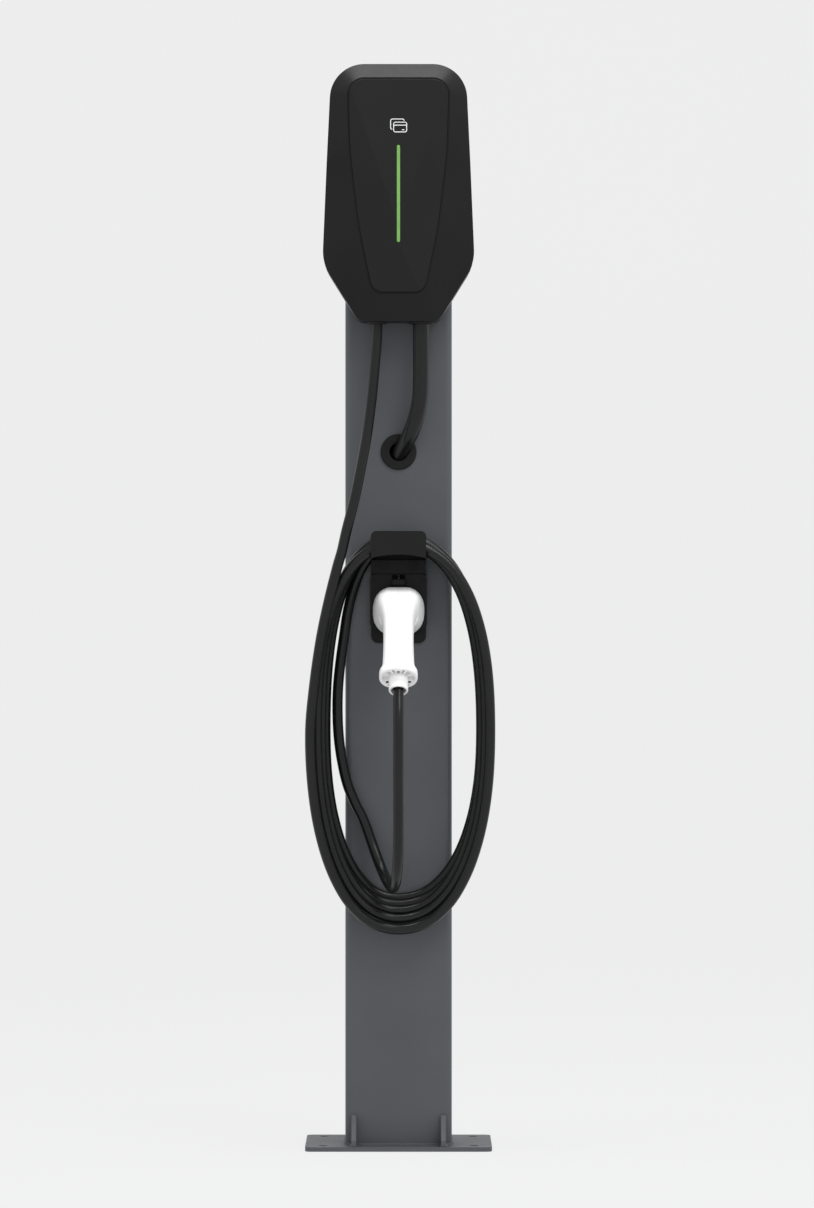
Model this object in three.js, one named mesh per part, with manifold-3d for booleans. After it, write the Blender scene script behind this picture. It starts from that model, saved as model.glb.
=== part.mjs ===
// Pedestal-mounted vehicle charging point, in millimetres, +Z up, front towards -Y.
// The origin is the centre of the base plate's underside.
import * as THREE from 'three';
import { mergeVertices } from 'three/addons/utils/BufferGeometryUtils.js';
import Module from 'manifold-3d';

const wasm = await Module();
wasm.setup();

// ---------------------------------------------------------------- driving dimensions
const GAP = 0.3; // running gap between pieces that touch
const BIG = 400; // longer than any cut has to reach

const PLATE_WIDTH = 250;
const PLATE_DEPTH = 180;
const PLATE_THICKNESS = 6;
const PLATE_CORNER = 9;
const ANCHOR_INSET = 24;
const ANCHOR_HOLE = 6;
const ENTRY_WIDTH = 66;
const ENTRY_DEPTH = 34;

const COLUMN_WIDTH = 143;
const COLUMN_DEPTH = 104;
const COLUMN_WALL = 3;
const COLUMN_CORNER = 8;
const COLUMN_TOP = 1400;
const CAP_THICKNESS = 4;
const CAP_SKIRT = 12;

const RIB_THICKNESS = 6;
const RIB_HEIGHT = 39.5;
const RIB_SIDE = 60;
const RIB_TOE = 8;
const RIB_SETBACK = 3;

const GROMMET_HEIGHT = 935.4;
const GROMMET_FLANGE = 24;
const GROMMET_FLANGE_DEPTH = 4;
const GROMMET_NECK = 19.4;
const GROMMET_LIP = 22;
const GROMMET_CLEARANCE = 0.8;

const SUPPLY_RADIUS = 10.75;
const LEAD_RADIUS = 7;

const BOX_BOTTOM = 1108;
const BOX_HEIGHT = 342;
const BOX_WALL = 3;
const BRACKET_WIDTH = 120;
const BRACKET_BOTTOM = BOX_BOTTOM + 42;
const BRACKET_TOP = COLUMN_TOP - 15;
const BRACKET_DEPTH = 6;
const BRACKET_SHEET = 2;
const HOUSING_DEPTH = 52;
const COVER_SKIRT = 4;
const COVER_DEPTH = 24;
const PANEL_RECESS = 2;
const PANEL_CLEARANCE = 0.5;
const PANEL_LAND = 2.5;
const PANEL_BOTTOM = BOX_BOTTOM + 37;
const PANEL_TOP = BOX_BOTTOM + BOX_HEIGHT - 22;
const PANEL_EDGE_RISE = 7; // the panel's edge, in front of its back
const PEAK_RISE = 9; // where the facets meet, in front of the panel's edge
const PEAK_HEIGHT = BOX_BOTTOM + 127;
const FACET_CORNER = { side: 62, height: PANEL_TOP - 18, drop: 0.8 };
const FACET_FOOT = { side: 28, height: PANEL_BOTTOM + 5, drop: 0.5 };
const LIGHT_WIDTH = 4.2;
const LIGHT_LENGTH = 129;
const LIGHT_BOTTOM = BOX_BOTTOM + 103;
const LIGHT_RECESS = 0.4; // the light's face, below the ridge
const BOARD_THICKNESS = 1.6;
const BOARD_STANDOFF = 4;
const EXIT_DEPTH = 33; // cable exits, in front of the column's face
const LEAD_EXIT_SIDE = -28.4;
const SUPPLY_EXIT_SIDE = 30;
const COLLAR_DROP = 2.5;

const TONGUE_WIDTH = 16.4;
const TONGUE_BOTTOM = 755;
const TONGUE_TOP = TONGUE_BOTTOM + 10;
const TONGUE_SLOT_TOP = TONGUE_TOP + 5.6;
const TONGUE_REACH = 14; // in front of the holster's flange
const LATCH_BOX_TOP = TONGUE_TOP + 10;
const LATCH_PIVOT_DEPTH = 12; // behind the column's face
const LATCH_PIVOT_HEIGHT = TONGUE_BOTTOM + 5;
const LATCH_PIN = 1.5;

const SOCKET_RADIUS = 26.9;
const SOCKET_WALL = 2.6;
const SOCKET_LENGTH = 48;
const POCKET_RADIUS = SOCKET_RADIUS + 8.3;
const POCKET_DEPTH = 4.5;
const SOCKET_HEIGHT = TONGUE_BOTTOM + 2.2 - POCKET_RADIUS;
const HOLSTER_WIDTH = 2 * (POCKET_RADIUS + 2.8);
const HOLSTER_BOTTOM = SOCKET_HEIGHT + 11 - POCKET_RADIUS;
const HOLSTER_TOP = TONGUE_TOP + 7;
const HOLSTER_FLANGE = 6.5;
const HOLSTER_SCREW_SIDE = HOLSTER_WIDTH / 2 - 5.6;
const HOLSTER_SCREW_HEIGHTS = [HOLSTER_BOTTOM + 4.6, TONGUE_BOTTOM + 8];

const HOOK_WIDTH = 73.6;
const HOOK_SHEET = 3;
const HOOK_BOTTOM = HOLSTER_BOTTOM - 18.8;
const HOOK_BAR_BOTTOM = HOLSTER_TOP + 0.4;
const HOOK_BAR_TOP = HOOK_BAR_BOTTOM + 17.6;
const HOOK_BAR_DEPTH = 14;
const TROUGH_DEPTH = 61;
const SADDLE_UNDER = HOOK_BAR_TOP + 2.6;
const SADDLE_UNDER_RISE = 4.6;
const SADDLE_HEIGHT = SADDLE_UNDER + 2;
const SADDLE_RISE = 7.7;
const LIP_TOP = SADDLE_UNDER + 36;
const HOOK_SCREW_SIDE = 20;
const HOOK_SCREW_HEIGHT = HOOK_BAR_BOTTOM + 10;
const HOOK_SCREW_HEAD = 5.4;

const HOOD_RADIUS = POCKET_RADIUS - 0.7;
const HOOD_FLAT = HOOD_RADIUS - 2.5;
const HOOD_LENGTH = 34.1; // from the pocket's floor to the bend
const SHELL_WALL = 2.5;
const GRIP_BEND = 60;
const GRIP_ANGLE = 56; // handle below the nose's axis, in degrees
const GRIP_LENGTH = 63;
const END_CAP_LENGTH = 12.7;
const COLLAR_LENGTH = 19.3;
const COLLAR_RADIUS = 12.9;
const COLLAR_BORE = 9.7;
const NOSE_RADIUS = SOCKET_RADIUS - 1.1;
const NOSE_LENGTH = 43;
const NOSE_FLANGE = NOSE_RADIUS + 3;
const CONTACT_RADIUS = 3;

const COIL_MIDDLE = 560;
const COIL_OUTER = { left: 125, right: 129, top: 268, bottom: 269 };
const COIL_INNER = { left: 90.5, right: 103.5, top: 244.6, bottom: 215.7 };
const COIL_FRONT = -115;
const COIL_BACK = -56;

// ---------------------------------------------------------------- places worked out from them
const FACE = -COLUMN_DEPTH / 2; // the column's front face
const PLATE_TOP = PLATE_THICKNESS;
const COLUMN_FOOT = PLATE_TOP + GAP;
const ANCHOR_X = PLATE_WIDTH / 2 - ANCHOR_INSET;
const ANCHOR_Y = PLATE_DEPTH / 2 - ANCHOR_INSET;
const ENTRY_Y = COLUMN_DEPTH / 2 - COLUMN_WALL - ENTRY_DEPTH / 2 - 2;
const BRACKET_BACK = FACE - GAP;
const HOUSING_BACK = BRACKET_BACK - BRACKET_DEPTH - GAP;
const HOUSING_RIM = HOUSING_BACK - HOUSING_DEPTH;
const COVER_RIM = HOUSING_RIM - GAP;
const COVER_FRONT = COVER_RIM - COVER_DEPTH;
const PANEL_FLOOR = COVER_FRONT + PANEL_RECESS;
const PANEL_BACK = PANEL_FLOOR - GAP;
const COVER_INNER = PANEL_FLOOR + BOX_WALL;
const PANEL_EDGE = PANEL_BACK - PANEL_EDGE_RISE;
const PEAK = PANEL_EDGE - PEAK_RISE;
const RIDGE_FOOT = PEAK + 0.7;
const LIGHT_BACK = COVER_INNER + 1;
const BOARD_BACK = HOUSING_BACK - BOX_WALL - BOARD_STANDOFF;
const BOARD_FRONT = BOARD_BACK - BOARD_THICKNESS;
const EXIT_Y = FACE - EXIT_DEPTH;
const HOOK_BACK = FACE - GAP;
const HOOK_FRONT = HOOK_BACK - HOOK_SHEET;
const HOOK_BAR_FRONT = HOOK_FRONT - HOOK_BAR_DEPTH;
const LIP_BACK = HOOK_FRONT - TROUGH_DEPTH;
const FLANGE_BACK = HOOK_FRONT - GAP;
const FLANGE_FRONT = FLANGE_BACK - HOLSTER_FLANGE;
const POCKET_FLOOR = FLANGE_FRONT + POCKET_DEPTH;
const HOOD_RIM = POCKET_FLOOR - GAP;
const BEND_START = HOOD_RIM - HOOD_LENGTH;
const SOCKET_OUTER = SOCKET_RADIUS + SOCKET_WALL;
const PIVOT_Y = FACE + LATCH_PIVOT_DEPTH;
const LATCH_BOX_SIDE = TONGUE_WIDTH / 2 + 3.8;

// ---------------------------------------------------------------- solids
function solid(geometry) {
  geometry.deleteAttribute('normal');
  geometry.deleteAttribute('uv');
  const merged = mergeVertices(geometry, 1e-4);
  const mesh = new wasm.Mesh({
    numProp: 3,
    vertProperties: new Float32Array(merged.attributes.position.array),
    triVerts: new Uint32Array(merged.index.array),
  });
  return new wasm.Manifold(mesh);
}

function placed(geometry, matrix) {
  geometry.applyMatrix4(matrix);
  return solid(geometry);
}

function box(x0, x1, y0, y1, z0, z1) {
  const geometry = new THREE.BoxGeometry(x1 - x0, y1 - y0, z1 - z0);
  geometry.translate((x0 + x1) / 2, (y0 + y1) / 2, (z0 + z1) / 2);
  return solid(geometry);
}

// A rod between two points.
function rod(from, to, radius, sides = 20) {
  const a = new THREE.Vector3(...from);
  const b = new THREE.Vector3(...to);
  const along = b.clone().sub(a);
  const geometry = new THREE.CylinderGeometry(radius, radius, along.length(), sides);
  const turn = new THREE.Quaternion().setFromUnitVectors(new THREE.Vector3(0, 1, 0), along.normalize());
  geometry.applyQuaternion(turn);
  const middle = a.add(b).multiplyScalar(0.5);
  geometry.translate(middle.x, middle.y, middle.z);
  return solid(geometry);
}

function extruded(points, depth) {
  const options = { depth, bevelEnabled: false };
  return new THREE.ExtrudeGeometry(new THREE.Shape(points), options);
}

// An outline in X and Y, from one height to another.
function plate(points, z0, z1) {
  return placed(extruded(points, z1 - z0), new THREE.Matrix4().makeTranslation(0, 0, z0));
}

// An outline in X and Z, from one depth to another.
function slab(points, front, back) {
  const turn = new THREE.Matrix4().makeRotationX(Math.PI / 2);
  turn.setPosition(0, back, 0);
  return placed(extruded(points, back - front), turn);
}

// An outline in Y and Z, from one side to the other.
function strip(points, x0, x1) {
  const turn = new THREE.Matrix4().set(0, 0, 1, x0, 1, 0, 0, 0, 0, 1, 0, 0, 0, 0, 0, 1);
  return placed(extruded(points, x1 - x0), turn);
}

// A closed profile of [radius, distance] pairs turned about an axis from a point.
function turned(profile, from, direction, sides = 32) {
  const points = [...profile, profile[0]].map(([r, s]) => new THREE.Vector2(r, s));
  const geometry = new THREE.LatheGeometry(points, sides);
  const axis = new THREE.Vector3(...direction).normalize();
  geometry.applyQuaternion(new THREE.Quaternion().setFromUnitVectors(new THREE.Vector3(0, 1, 0), axis));
  geometry.translate(...from);
  return solid(outward(geometry));
}

// Turns a closed surface the right way out.
function outward(geometry) {
  geometry.deleteAttribute('normal');
  geometry.deleteAttribute('uv');
  const merged = mergeVertices(geometry, 1e-4);
  const at = merged.attributes.position;
  const index = Array.from(merged.index.array);
  const [a, b, c] = [new THREE.Vector3(), new THREE.Vector3(), new THREE.Vector3()];
  const kept = [];
  let volume = 0;
  for (let i = 0; i < index.length; i += 3) {
    const [p, q, r] = index.slice(i, i + 3);
    if (p === q || q === r || r === p) continue;
    a.fromBufferAttribute(at, p);
    b.fromBufferAttribute(at, q);
    c.fromBufferAttribute(at, r);
    volume += a.dot(b.clone().cross(c));
    kept.push(p, q, r);
  }
  if (volume < 0) kept.reverse();
  merged.setIndex(kept);
  return merged;
}

// A body through rings of equal numbers of points, closed by flat ends or, if it is a loop, by itself.
function lofted(rings) {
  const count = rings[0].length;
  const positions = rings.flat().flatMap((p) => [p.x, p.y, p.z]);
  const index = [];
  for (let i = 0; i + 1 < rings.length; i += 1) {
    for (let j = 0; j < count; j += 1) {
      const k = (j + 1) % count;
      const [a, b, c, d] = [i * count + j, i * count + k, (i + 1) * count + k, (i + 1) * count + j];
      index.push(a, b, c, a, c, d);
    }
  }
  const last = (rings.length - 1) * count;
  for (const triangle of cap(rings[0])) index.push(triangle[2], triangle[1], triangle[0]);
  for (const triangle of cap(rings[rings.length - 1])) index.push(...triangle.map((i) => i + last));
  const geometry = new THREE.BufferGeometry();
  geometry.setAttribute('position', new THREE.Float32BufferAttribute(positions, 3));
  geometry.setIndex(index);
  return solid(outward(geometry));
}

// The triangles that close a flat ring.
function cap(ring) {
  const across = ring[1].clone().sub(ring[0]).normalize();
  const normal = new THREE.Vector3();
  ring.forEach((p, i) => normal.add(p.clone().cross(ring[(i + 1) % ring.length])));
  normal.normalize();
  const up = normal.clone().cross(across);
  const flat = ring.map((p) => new THREE.Vector2(p.dot(across), p.dot(up)));
  return THREE.ShapeUtils.triangulateShape(flat, []);
}

// ---------------------------------------------------------------- outlines
// Corners are [x, z, radius, steps], anticlockwise. The inset moves every side inwards.
function outline(corners, inset = 0) {
  const count = corners.length;
  const at = corners.map(([x, z]) => new THREE.Vector2(x, z));
  const sides = at.map((p, i) => {
    const along = at[(i + 1) % count].clone().sub(p).normalize();
    const inward = new THREE.Vector2(-along.y, along.x);
    return { along, inward, through: p.clone().addScaledVector(inward, inset) };
  });
  const points = [];
  for (let i = 0; i < count; i += 1) {
    const before = sides[(i + count - 1) % count];
    const after = sides[i];
    const step = after.through.clone().sub(before.through);
    const share = step.cross(after.along) / before.along.cross(after.along);
    const corner = before.through.clone().addScaledVector(before.along, share);
    const turn = Math.atan2(before.along.cross(after.along), before.along.dot(after.along));
    const [, , radius, steps] = corners[i];
    const round = Math.max(radius - inset, 0.5);
    const start = corner.clone().addScaledVector(before.along, -round * Math.tan(turn / 2));
    const centre = start.clone().addScaledVector(before.inward, round);
    for (let k = 0; k <= steps; k += 1) {
      const arm = start.clone().sub(centre).rotateAround(new THREE.Vector2(), (turn * k) / steps);
      points.push(centre.clone().add(arm));
    }
  }
  return points;
}

// The right half of an outline, bottom to top, completed by its mirror image.
function symmetric(half) {
  const mirrored = half.map(([x, z, radius, steps]) => [-x, z, radius, steps]).reverse();
  return [...half, ...mirrored];
}

function rectangle(x0, x1, z0, z1, radius, steps = 4) {
  const corners = [[x1, z0], [x1, z1], [x0, z1], [x0, z0]];
  return outline(corners.map(([x, z]) => [x, z, radius, steps]));
}

const BOX_OUTLINE = symmetric([
  [53.5, BOX_BOTTOM, 14, 4],
  [101.3, BOX_BOTTOM + 0.225 * BOX_HEIGHT, 60, 4],
  [95.6, BOX_BOTTOM + 0.617 * BOX_HEIGHT, 400, 1],
  [89.3, BOX_BOTTOM + BOX_HEIGHT, 46, 6],
]);

const PANEL_OUTLINE = symmetric([
  [34.5, PANEL_BOTTOM, 17, 4],
  [53, BOX_BOTTOM + 125, 600, 4],
  [64.5, BOX_BOTTOM + 225, 600, 1],
  [67, PANEL_TOP, 21, 6],
]);

function ringAt(points, y) {
  return points.map((p) => new THREE.Vector3(p.x, y, p.y));
}

// ---------------------------------------------------------------- base and column
function basePlate() {
  const [width, depth] = [PLATE_WIDTH / 2, PLATE_DEPTH / 2];
  let made = plate(rectangle(-width, width, -depth, depth, PLATE_CORNER), 0, PLATE_TOP);
  for (const x of [-ANCHOR_X, ANCHOR_X]) {
    for (const y of [-ANCHOR_Y, ANCHOR_Y]) {
      made = made.subtract(rod([x, y, -5], [x, y, PLATE_TOP + 5], ANCHOR_HOLE));
    }
  }
  const [x, y] = [ENTRY_WIDTH / 2, ENTRY_DEPTH / 2];
  return made.subtract(plate(rectangle(-x, x, ENTRY_Y - y, ENTRY_Y + y, 12), -5, PLATE_TOP + 5));
}

function columnSection(inset) {
  const x = COLUMN_WIDTH / 2;
  const y = COLUMN_DEPTH / 2;
  const corners = [[x, -y], [x, y], [-x, y], [-x, -y]];
  return outline(corners.map((p) => [...p, COLUMN_CORNER, 4]), inset);
}

function columnShell() {
  let made = plate(columnSection(0), COLUMN_FOOT, COLUMN_TOP);
  made = made.subtract(plate(columnSection(COLUMN_WALL), -5, COLUMN_TOP + 5));
  const hole = rod([0, FACE - 5, GROMMET_HEIGHT], [0, FACE + 10, GROMMET_HEIGHT], GROMMET_NECK + GAP, 32);
  made = made.subtract(hole).subtract(holsterOpening(FACE - 5, FACE + 10));
  for (const x of [-HOOK_SCREW_SIDE, HOOK_SCREW_SIDE]) {
    made = made.subtract(rod([x, FACE - 5, HOOK_SCREW_HEIGHT], [x, FACE + 10, HOOK_SCREW_HEIGHT], 2.9, 12));
  }
  for (const [x, z] of holsterScrewPlaces()) {
    made = made.subtract(rod([x, FACE - 5, z], [x, FACE + 10, z], 2, 12));
  }
  for (const z of bracketScrewHeights()) {
    made = made.subtract(rod([0, FACE - 5, z], [0, FACE + 10, z], 2.9, 12));
  }
  return made;
}

function topCap() {
  const lid = plate(columnSection(0), COLUMN_TOP + GAP, COLUMN_TOP + GAP + CAP_THICKNESS);
  const skirt = plate(columnSection(COLUMN_WALL + GAP), COLUMN_TOP - CAP_SKIRT, COLUMN_TOP + GAP + 1);
  const inside = plate(columnSection(COLUMN_WALL + GAP + 2), COLUMN_TOP - CAP_SKIRT - 5, COLUMN_TOP + GAP);
  return lid.add(skirt.subtract(inside));
}

// A gusset from the column's face out to the plate's edge, on the front or the back.
function rib(x, side) {
  const foot = -FACE + GAP;
  const edge = PLATE_DEPTH / 2 - RIB_SETBACK;
  const low = PLATE_TOP + GAP;
  const high = low + RIB_HEIGHT;
  const profile = [[foot, low], [edge, low], [edge, low + RIB_TOE], [foot + 4, high], [foot, high]];
  const points = profile.map(([y, z]) => new THREE.Vector2(side * y, z));
  if (side < 0) points.reverse();
  return strip(points, x - RIB_THICKNESS / 2, x + RIB_THICKNESS / 2);
}

// ---------------------------------------------------------------- cables
const SUPPLY_ROUTE = [
  [30, -85, 1105.2], [30, -85.5, 1060], [29.9, -87, 1027], [28.6, -88.3, 1004], [25, -87.2, 986],
  [19.5, -81.5, 968], [13.5, -72.5, 954.5], [7.5, -61.5, 944.5], [2, -50.5, 935], [-2.5, -39, 925.5],
  [-5.5, -26.5, 912], [-7, -13, 893], [-7.5, 0, 868], [-8, 12, 835], [-8.5, 20, 795], [-9, 25, 730],
  [-10, 27, 600], [-12, 28, 400], [-14, 28, 200], [-15, 28, 60], [-15, 28, 0.5],
];

const LEAD_ROUTE = [
  [-28.4, -85, 1105.2], [-28.9, -85.5, 1085], [-30.8, -86.5, 1061.5], [-33.2, -88, 1033],
  [-36, -90, 1004.6], [-41.9, -94, 959.9], [-49.7, -98, 915.7], [-58.6, -102, 871.6],
  [-69.7, -106.5, 827.5], [-75.6, -108.5, 801],
];

const TAIL_ROUTE = [
  [-48, -62, 782], [-55.5, -62, 766], [-62.5, -62, 745], [-68.5, -62.5, 718.7], [-73, -63, 688],
  [-78, -63.5, 652], [-81.3, -64, 616], [-81.6, -64.5, 578], [-79.8, -65, 549.8], [-75.8, -65, 521.8],
  [-68.5, -65.5, 490], [-58, -66, 464], [-47.5, -67, 443], [-33, -72, 404], [-22.5, -87, 377],
  [-14, -111, 360.5], [-8.5, -138, 355], [-4.5, -165, 360.5], [-2, -188, 376.5], [-0.5, -203, 402],
  [0, -208.5, 432], [0, -211.5, 470], [0, -213, 510], [0, -213.5, 545], [0, -211.5, 572], [0, -206.5, 593],
];

function route(points) {
  return new THREE.CatmullRomCurve3(points.map((p) => new THREE.Vector3(...p)), false, 'centripetal');
}

function round(radius, sides) {
  const points = [];
  for (let i = 0; i < sides; i += 1) {
    const angle = (2 * Math.PI * i) / sides;
    points.push(new THREE.Vector2(radius * Math.cos(angle), radius * Math.sin(angle)));
  }
  return new THREE.Shape(points);
}

function tube(path, radius, sides, steps) {
  const options = { steps, extrudePath: path, bevelEnabled: false };
  return solid(outward(new THREE.ExtrudeGeometry(round(radius, sides), options)));
}

// One quarter of an egg-shaped loop: a superellipse with its own width, height and fullness.
function quarter(side, rise, width, height, fullness, steps) {
  const points = [];
  for (let i = 0; i < steps; i += 1) {
    const angle = (Math.PI / 2) * (i / steps);
    const x = width * Math.cos(angle) ** (2 / fullness);
    const z = height * Math.sin(angle) ** (2 / fullness);
    points.push(new THREE.Vector2(side * x, COIL_MIDDLE + rise * z));
  }
  return points;
}

function eggLoop(size, fullness, steps) {
  const [upperRight, upperLeft, lowerLeft, lowerRight] = fullness;
  const first = quarter(1, 1, size.right, size.top, upperRight, steps);
  const second = quarter(-1, 1, size.left, size.top, upperLeft, steps);
  const third = quarter(-1, -1, size.left, size.bottom, lowerLeft, steps);
  const fourth = quarter(1, -1, size.right, size.bottom, lowerRight, steps);
  const top = new THREE.Vector2(0, COIL_MIDDLE + size.top);
  const bottom = new THREE.Vector2(0, COIL_MIDDLE - size.bottom);
  return [...first, top, ...second.reverse(), ...third.slice(1), bottom, ...fourth.slice(1).reverse()];
}

// The outer shape of the hung coil, which lies in the hook's trough.
function coil() {
  const outer = slab(eggLoop(COIL_OUTER, [2.4, 2.4, 2.2, 2.2], 9), COIL_FRONT, COIL_BACK);
  const inner = slab(eggLoop(COIL_INNER, [2.4, 3.2, 2.2, 2.2], 9), COIL_FRONT - 5, COIL_BACK + 5);
  return outer.subtract(inner);
}

function grommet() {
  const back = FACE + COLUMN_WALL + GAP;
  const front = FACE - GAP;
  const profile = [
    [0, front - GROMMET_FLANGE_DEPTH], [GROMMET_FLANGE - 1.5, front - GROMMET_FLANGE_DEPTH],
    [GROMMET_FLANGE, front - GROMMET_FLANGE_DEPTH + 2], [GROMMET_FLANGE, front], [GROMMET_NECK, front],
    [GROMMET_NECK, back], [GROMMET_LIP, back], [GROMMET_LIP - 0.5, back + 3], [0, back + 3],
  ];
  const made = turned(profile, [0, 0, GROMMET_HEIGHT], [0, 1, 0]);
  return made.subtract(tube(route(SUPPLY_ROUTE.slice(4, 13)), SUPPLY_RADIUS + GROMMET_CLEARANCE, 16, 24));
}

// ---------------------------------------------------------------- wall box
function bracketScrewHeights() {
  return [BRACKET_BOTTOM + 20, BRACKET_TOP - 20];
}

function bracket() {
  const half = BRACKET_WIDTH / 2;
  let made = box(-half, half, BRACKET_BACK - BRACKET_SHEET, BRACKET_BACK, BRACKET_BOTTOM, BRACKET_TOP);
  for (const x of [-half, half - BRACKET_SHEET]) {
    const front = BRACKET_BACK - BRACKET_DEPTH;
    made = made.add(box(x, x + BRACKET_SHEET, front, BRACKET_BACK, BRACKET_BOTTOM, BRACKET_TOP));
  }
  for (const z of bracketScrewHeights()) {
    made = made.subtract(rod([0, FACE - 10, z], [0, FACE + 10, z], 2.9, 12));
  }
  return made;
}

// A screw along Y: a head, a shank and a hexagon socket in the head.
function screwY(x, z, headBack, headRadius, headDepth, shankRadius, length) {
  const head = rod([x, headBack - headDepth, z], [x, headBack, z], headRadius, 14);
  const shank = rod([x, headBack - 0.5, z], [x, headBack + length, z], shankRadius, 10);
  const floor = headBack - headDepth * 0.45;
  const socket = rod([x, headBack - headDepth - 1, z], [x, floor, z], headRadius * 0.45, 6);
  return head.add(shank).subtract(socket);
}

function coverScrewPlaces() {
  const high = BOX_BOTTOM + BOX_HEIGHT - 40;
  const low = BOX_BOTTOM + 84;
  return [[-74, low], [74, low], [-74, high], [74, high]];
}

function cableExits() {
  return [
    { x: LEAD_EXIT_SIDE, radius: LEAD_RADIUS },
    { x: SUPPLY_EXIT_SIDE, radius: SUPPLY_RADIUS },
  ];
}

function rearHousing() {
  let made = slab(outline(BOX_OUTLINE), HOUSING_RIM, HOUSING_BACK);
  made = made.subtract(slab(outline(BOX_OUTLINE, BOX_WALL), HOUSING_RIM - 5, HOUSING_BACK - BOX_WALL));
  for (const { x, radius } of cableExits()) {
    const [below, above] = [[x, EXIT_Y, BOX_BOTTOM - 5], [x, EXIT_Y, BOX_BOTTOM + 10]];
    made = made.subtract(rod(below, above, radius + 4 + GAP, 24));
  }
  for (const [x, z] of coverScrewPlaces()) {
    made = made.subtract(rod([x, HOUSING_BACK - 10, z], [x, HOUSING_BACK + 5, z], 2.2, 12));
  }
  return made;
}

function gasket() {
  const front = COVER_RIM - 3;
  const back = HOUSING_RIM + 3;
  const made = slab(outline(BOX_OUTLINE, BOX_WALL + GAP), front, back);
  return made.subtract(slab(outline(BOX_OUTLINE, BOX_WALL + GAP + 2.5), front - 5, back + 5));
}

// The cover's outside, or its inside when the walls are taken off.
function coverBody(wall, back, skirt, front) {
  const land = PANEL_LAND - wall;
  const rings = [
    ringAt(outline(BOX_OUTLINE, wall), back),
    ringAt(outline(BOX_OUTLINE, wall), skirt),
    ringAt(outline(PANEL_OUTLINE, -land), front),
  ];
  return lofted(rings);
}

function lightSlot(clearance, front, back) {
  const half = LIGHT_WIDTH / 2 + clearance;
  const [low, high] = [LIGHT_BOTTOM - clearance, LIGHT_BOTTOM + LIGHT_LENGTH + clearance];
  return slab(rectangle(-half, half, low, high, half - 0.1, 3), front, back);
}

function frontCover() {
  const outer = coverBody(0, COVER_RIM, COVER_RIM - COVER_SKIRT, COVER_FRONT);
  const inner = coverBody(BOX_WALL, COVER_RIM + 5, COVER_RIM - COVER_SKIRT + 1, COVER_INNER);
  let made = outer.subtract(inner);
  made = made.subtract(slab(outline(PANEL_OUTLINE), COVER_FRONT - 5, PANEL_FLOOR));
  const space = outer.add(box(-BIG, BIG, COVER_RIM - 1, BIG, 0, 2000));
  for (const [x, z] of coverScrewPlaces()) {
    const pillar = rod([x, COVER_FRONT, z], [x, HOUSING_BACK - BOX_WALL - GAP, z], 4.5, 14);
    made = made.add(pillar.intersect(space));
    made = made.subtract(rod([x, HOUSING_BACK - 20, z], [x, HOUSING_BACK + 5, z], 1.9, 10));
  }
  return made.subtract(lightSlot(0.6, COVER_FRONT - 5, COVER_RIM));
}

// Keeps what lies behind a plane through three points.
function behind(a, b, c) {
  const [p, q, r] = [a, b, c].map((v) => new THREE.Vector3(...v));
  const normal = q.clone().sub(p).cross(r.clone().sub(p)).normalize();
  if (normal.y > 0) normal.negate();
  const block = new THREE.BoxGeometry(4 * BIG, 4 * BIG, 4 * BIG);
  block.translate(0, 0, -2 * BIG);
  const turn = new THREE.Quaternion().setFromUnitVectors(new THREE.Vector3(0, 0, 1), normal);
  block.applyQuaternion(turn);
  block.translate(p.x, p.y, p.z);
  return solid(block);
}

function frontPanel() {
  let made = slab(outline(PANEL_OUTLINE, PANEL_CLEARANCE), PEAK - 5, PANEL_BACK);
  const peak = [0, PEAK, PEAK_HEIGHT];
  const ridge = [0, RIDGE_FOOT, LIGHT_BOTTOM];
  const [top, bottom] = [FACET_CORNER, FACET_FOOT];
  const corner = (side) => [side * top.side, PANEL_EDGE - top.drop, top.height];
  const foot = (side) => [side * bottom.side, PANEL_EDGE - bottom.drop, bottom.height];
  made = made.intersect(behind(corner(-1), corner(1), peak));
  for (const side of [-1, 1]) made = made.intersect(behind(corner(side), peak, foot(side)));
  made = made.intersect(behind(foot(-1), foot(1), ridge));
  return made.subtract(lightSlot(GAP, PEAK - 10, PANEL_BACK + 5));
}

function lightBar() {
  const face = PEAK + LIGHT_RECESS;
  const edge = [0, PANEL_EDGE + LIGHT_RECESS, PANEL_TOP];
  const foot = [0, RIDGE_FOOT + LIGHT_RECESS, LIGHT_BOTTOM];
  const across = [[-10, face, PEAK_HEIGHT], [10, face, PEAK_HEIGHT]];
  const made = lightSlot(0, PEAK - 10, LIGHT_BACK);
  return made.intersect(behind(...across, edge)).intersect(behind(...across, foot));
}

// A circuit board whose front face is at a depth.
function board(half, front, low, high) {
  return box(-half, half, front, front + BOARD_THICKNESS, low, high);
}

function lightBoard() {
  return board(6, LIGHT_BACK + GAP, LIGHT_BOTTOM - 3, LIGHT_BOTTOM + LIGHT_LENGTH + 3);
}

function cardReaderBoard() {
  const low = LIGHT_BOTTOM + LIGHT_LENGTH + 8;
  return board(30, LIGHT_BACK + GAP, low, low + 48);
}

function mainBoard() {
  return board(62, BOARD_FRONT, BOX_BOTTOM + 77, BOX_BOTTOM + 267);
}

function relay() {
  const low = BOX_BOTTOM + 162;
  return box(-52, -12, BOARD_FRONT - GAP - 28, BOARD_FRONT - GAP, low, low + 50);
}

function terminalBlock() {
  const low = BOX_BOTTOM + 88;
  const wire = BOARD_FRONT - 12;
  let made = box(-8, 52, BOARD_FRONT - GAP - 20, BOARD_FRONT - GAP, low, low + 24);
  for (let i = 0; i < 4; i += 1) {
    const x = 0.5 + 14.3 * i;
    made = made.subtract(rod([x, wire, low - 6], [x, wire, low + 18], 4, 10));
  }
  return made;
}

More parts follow.
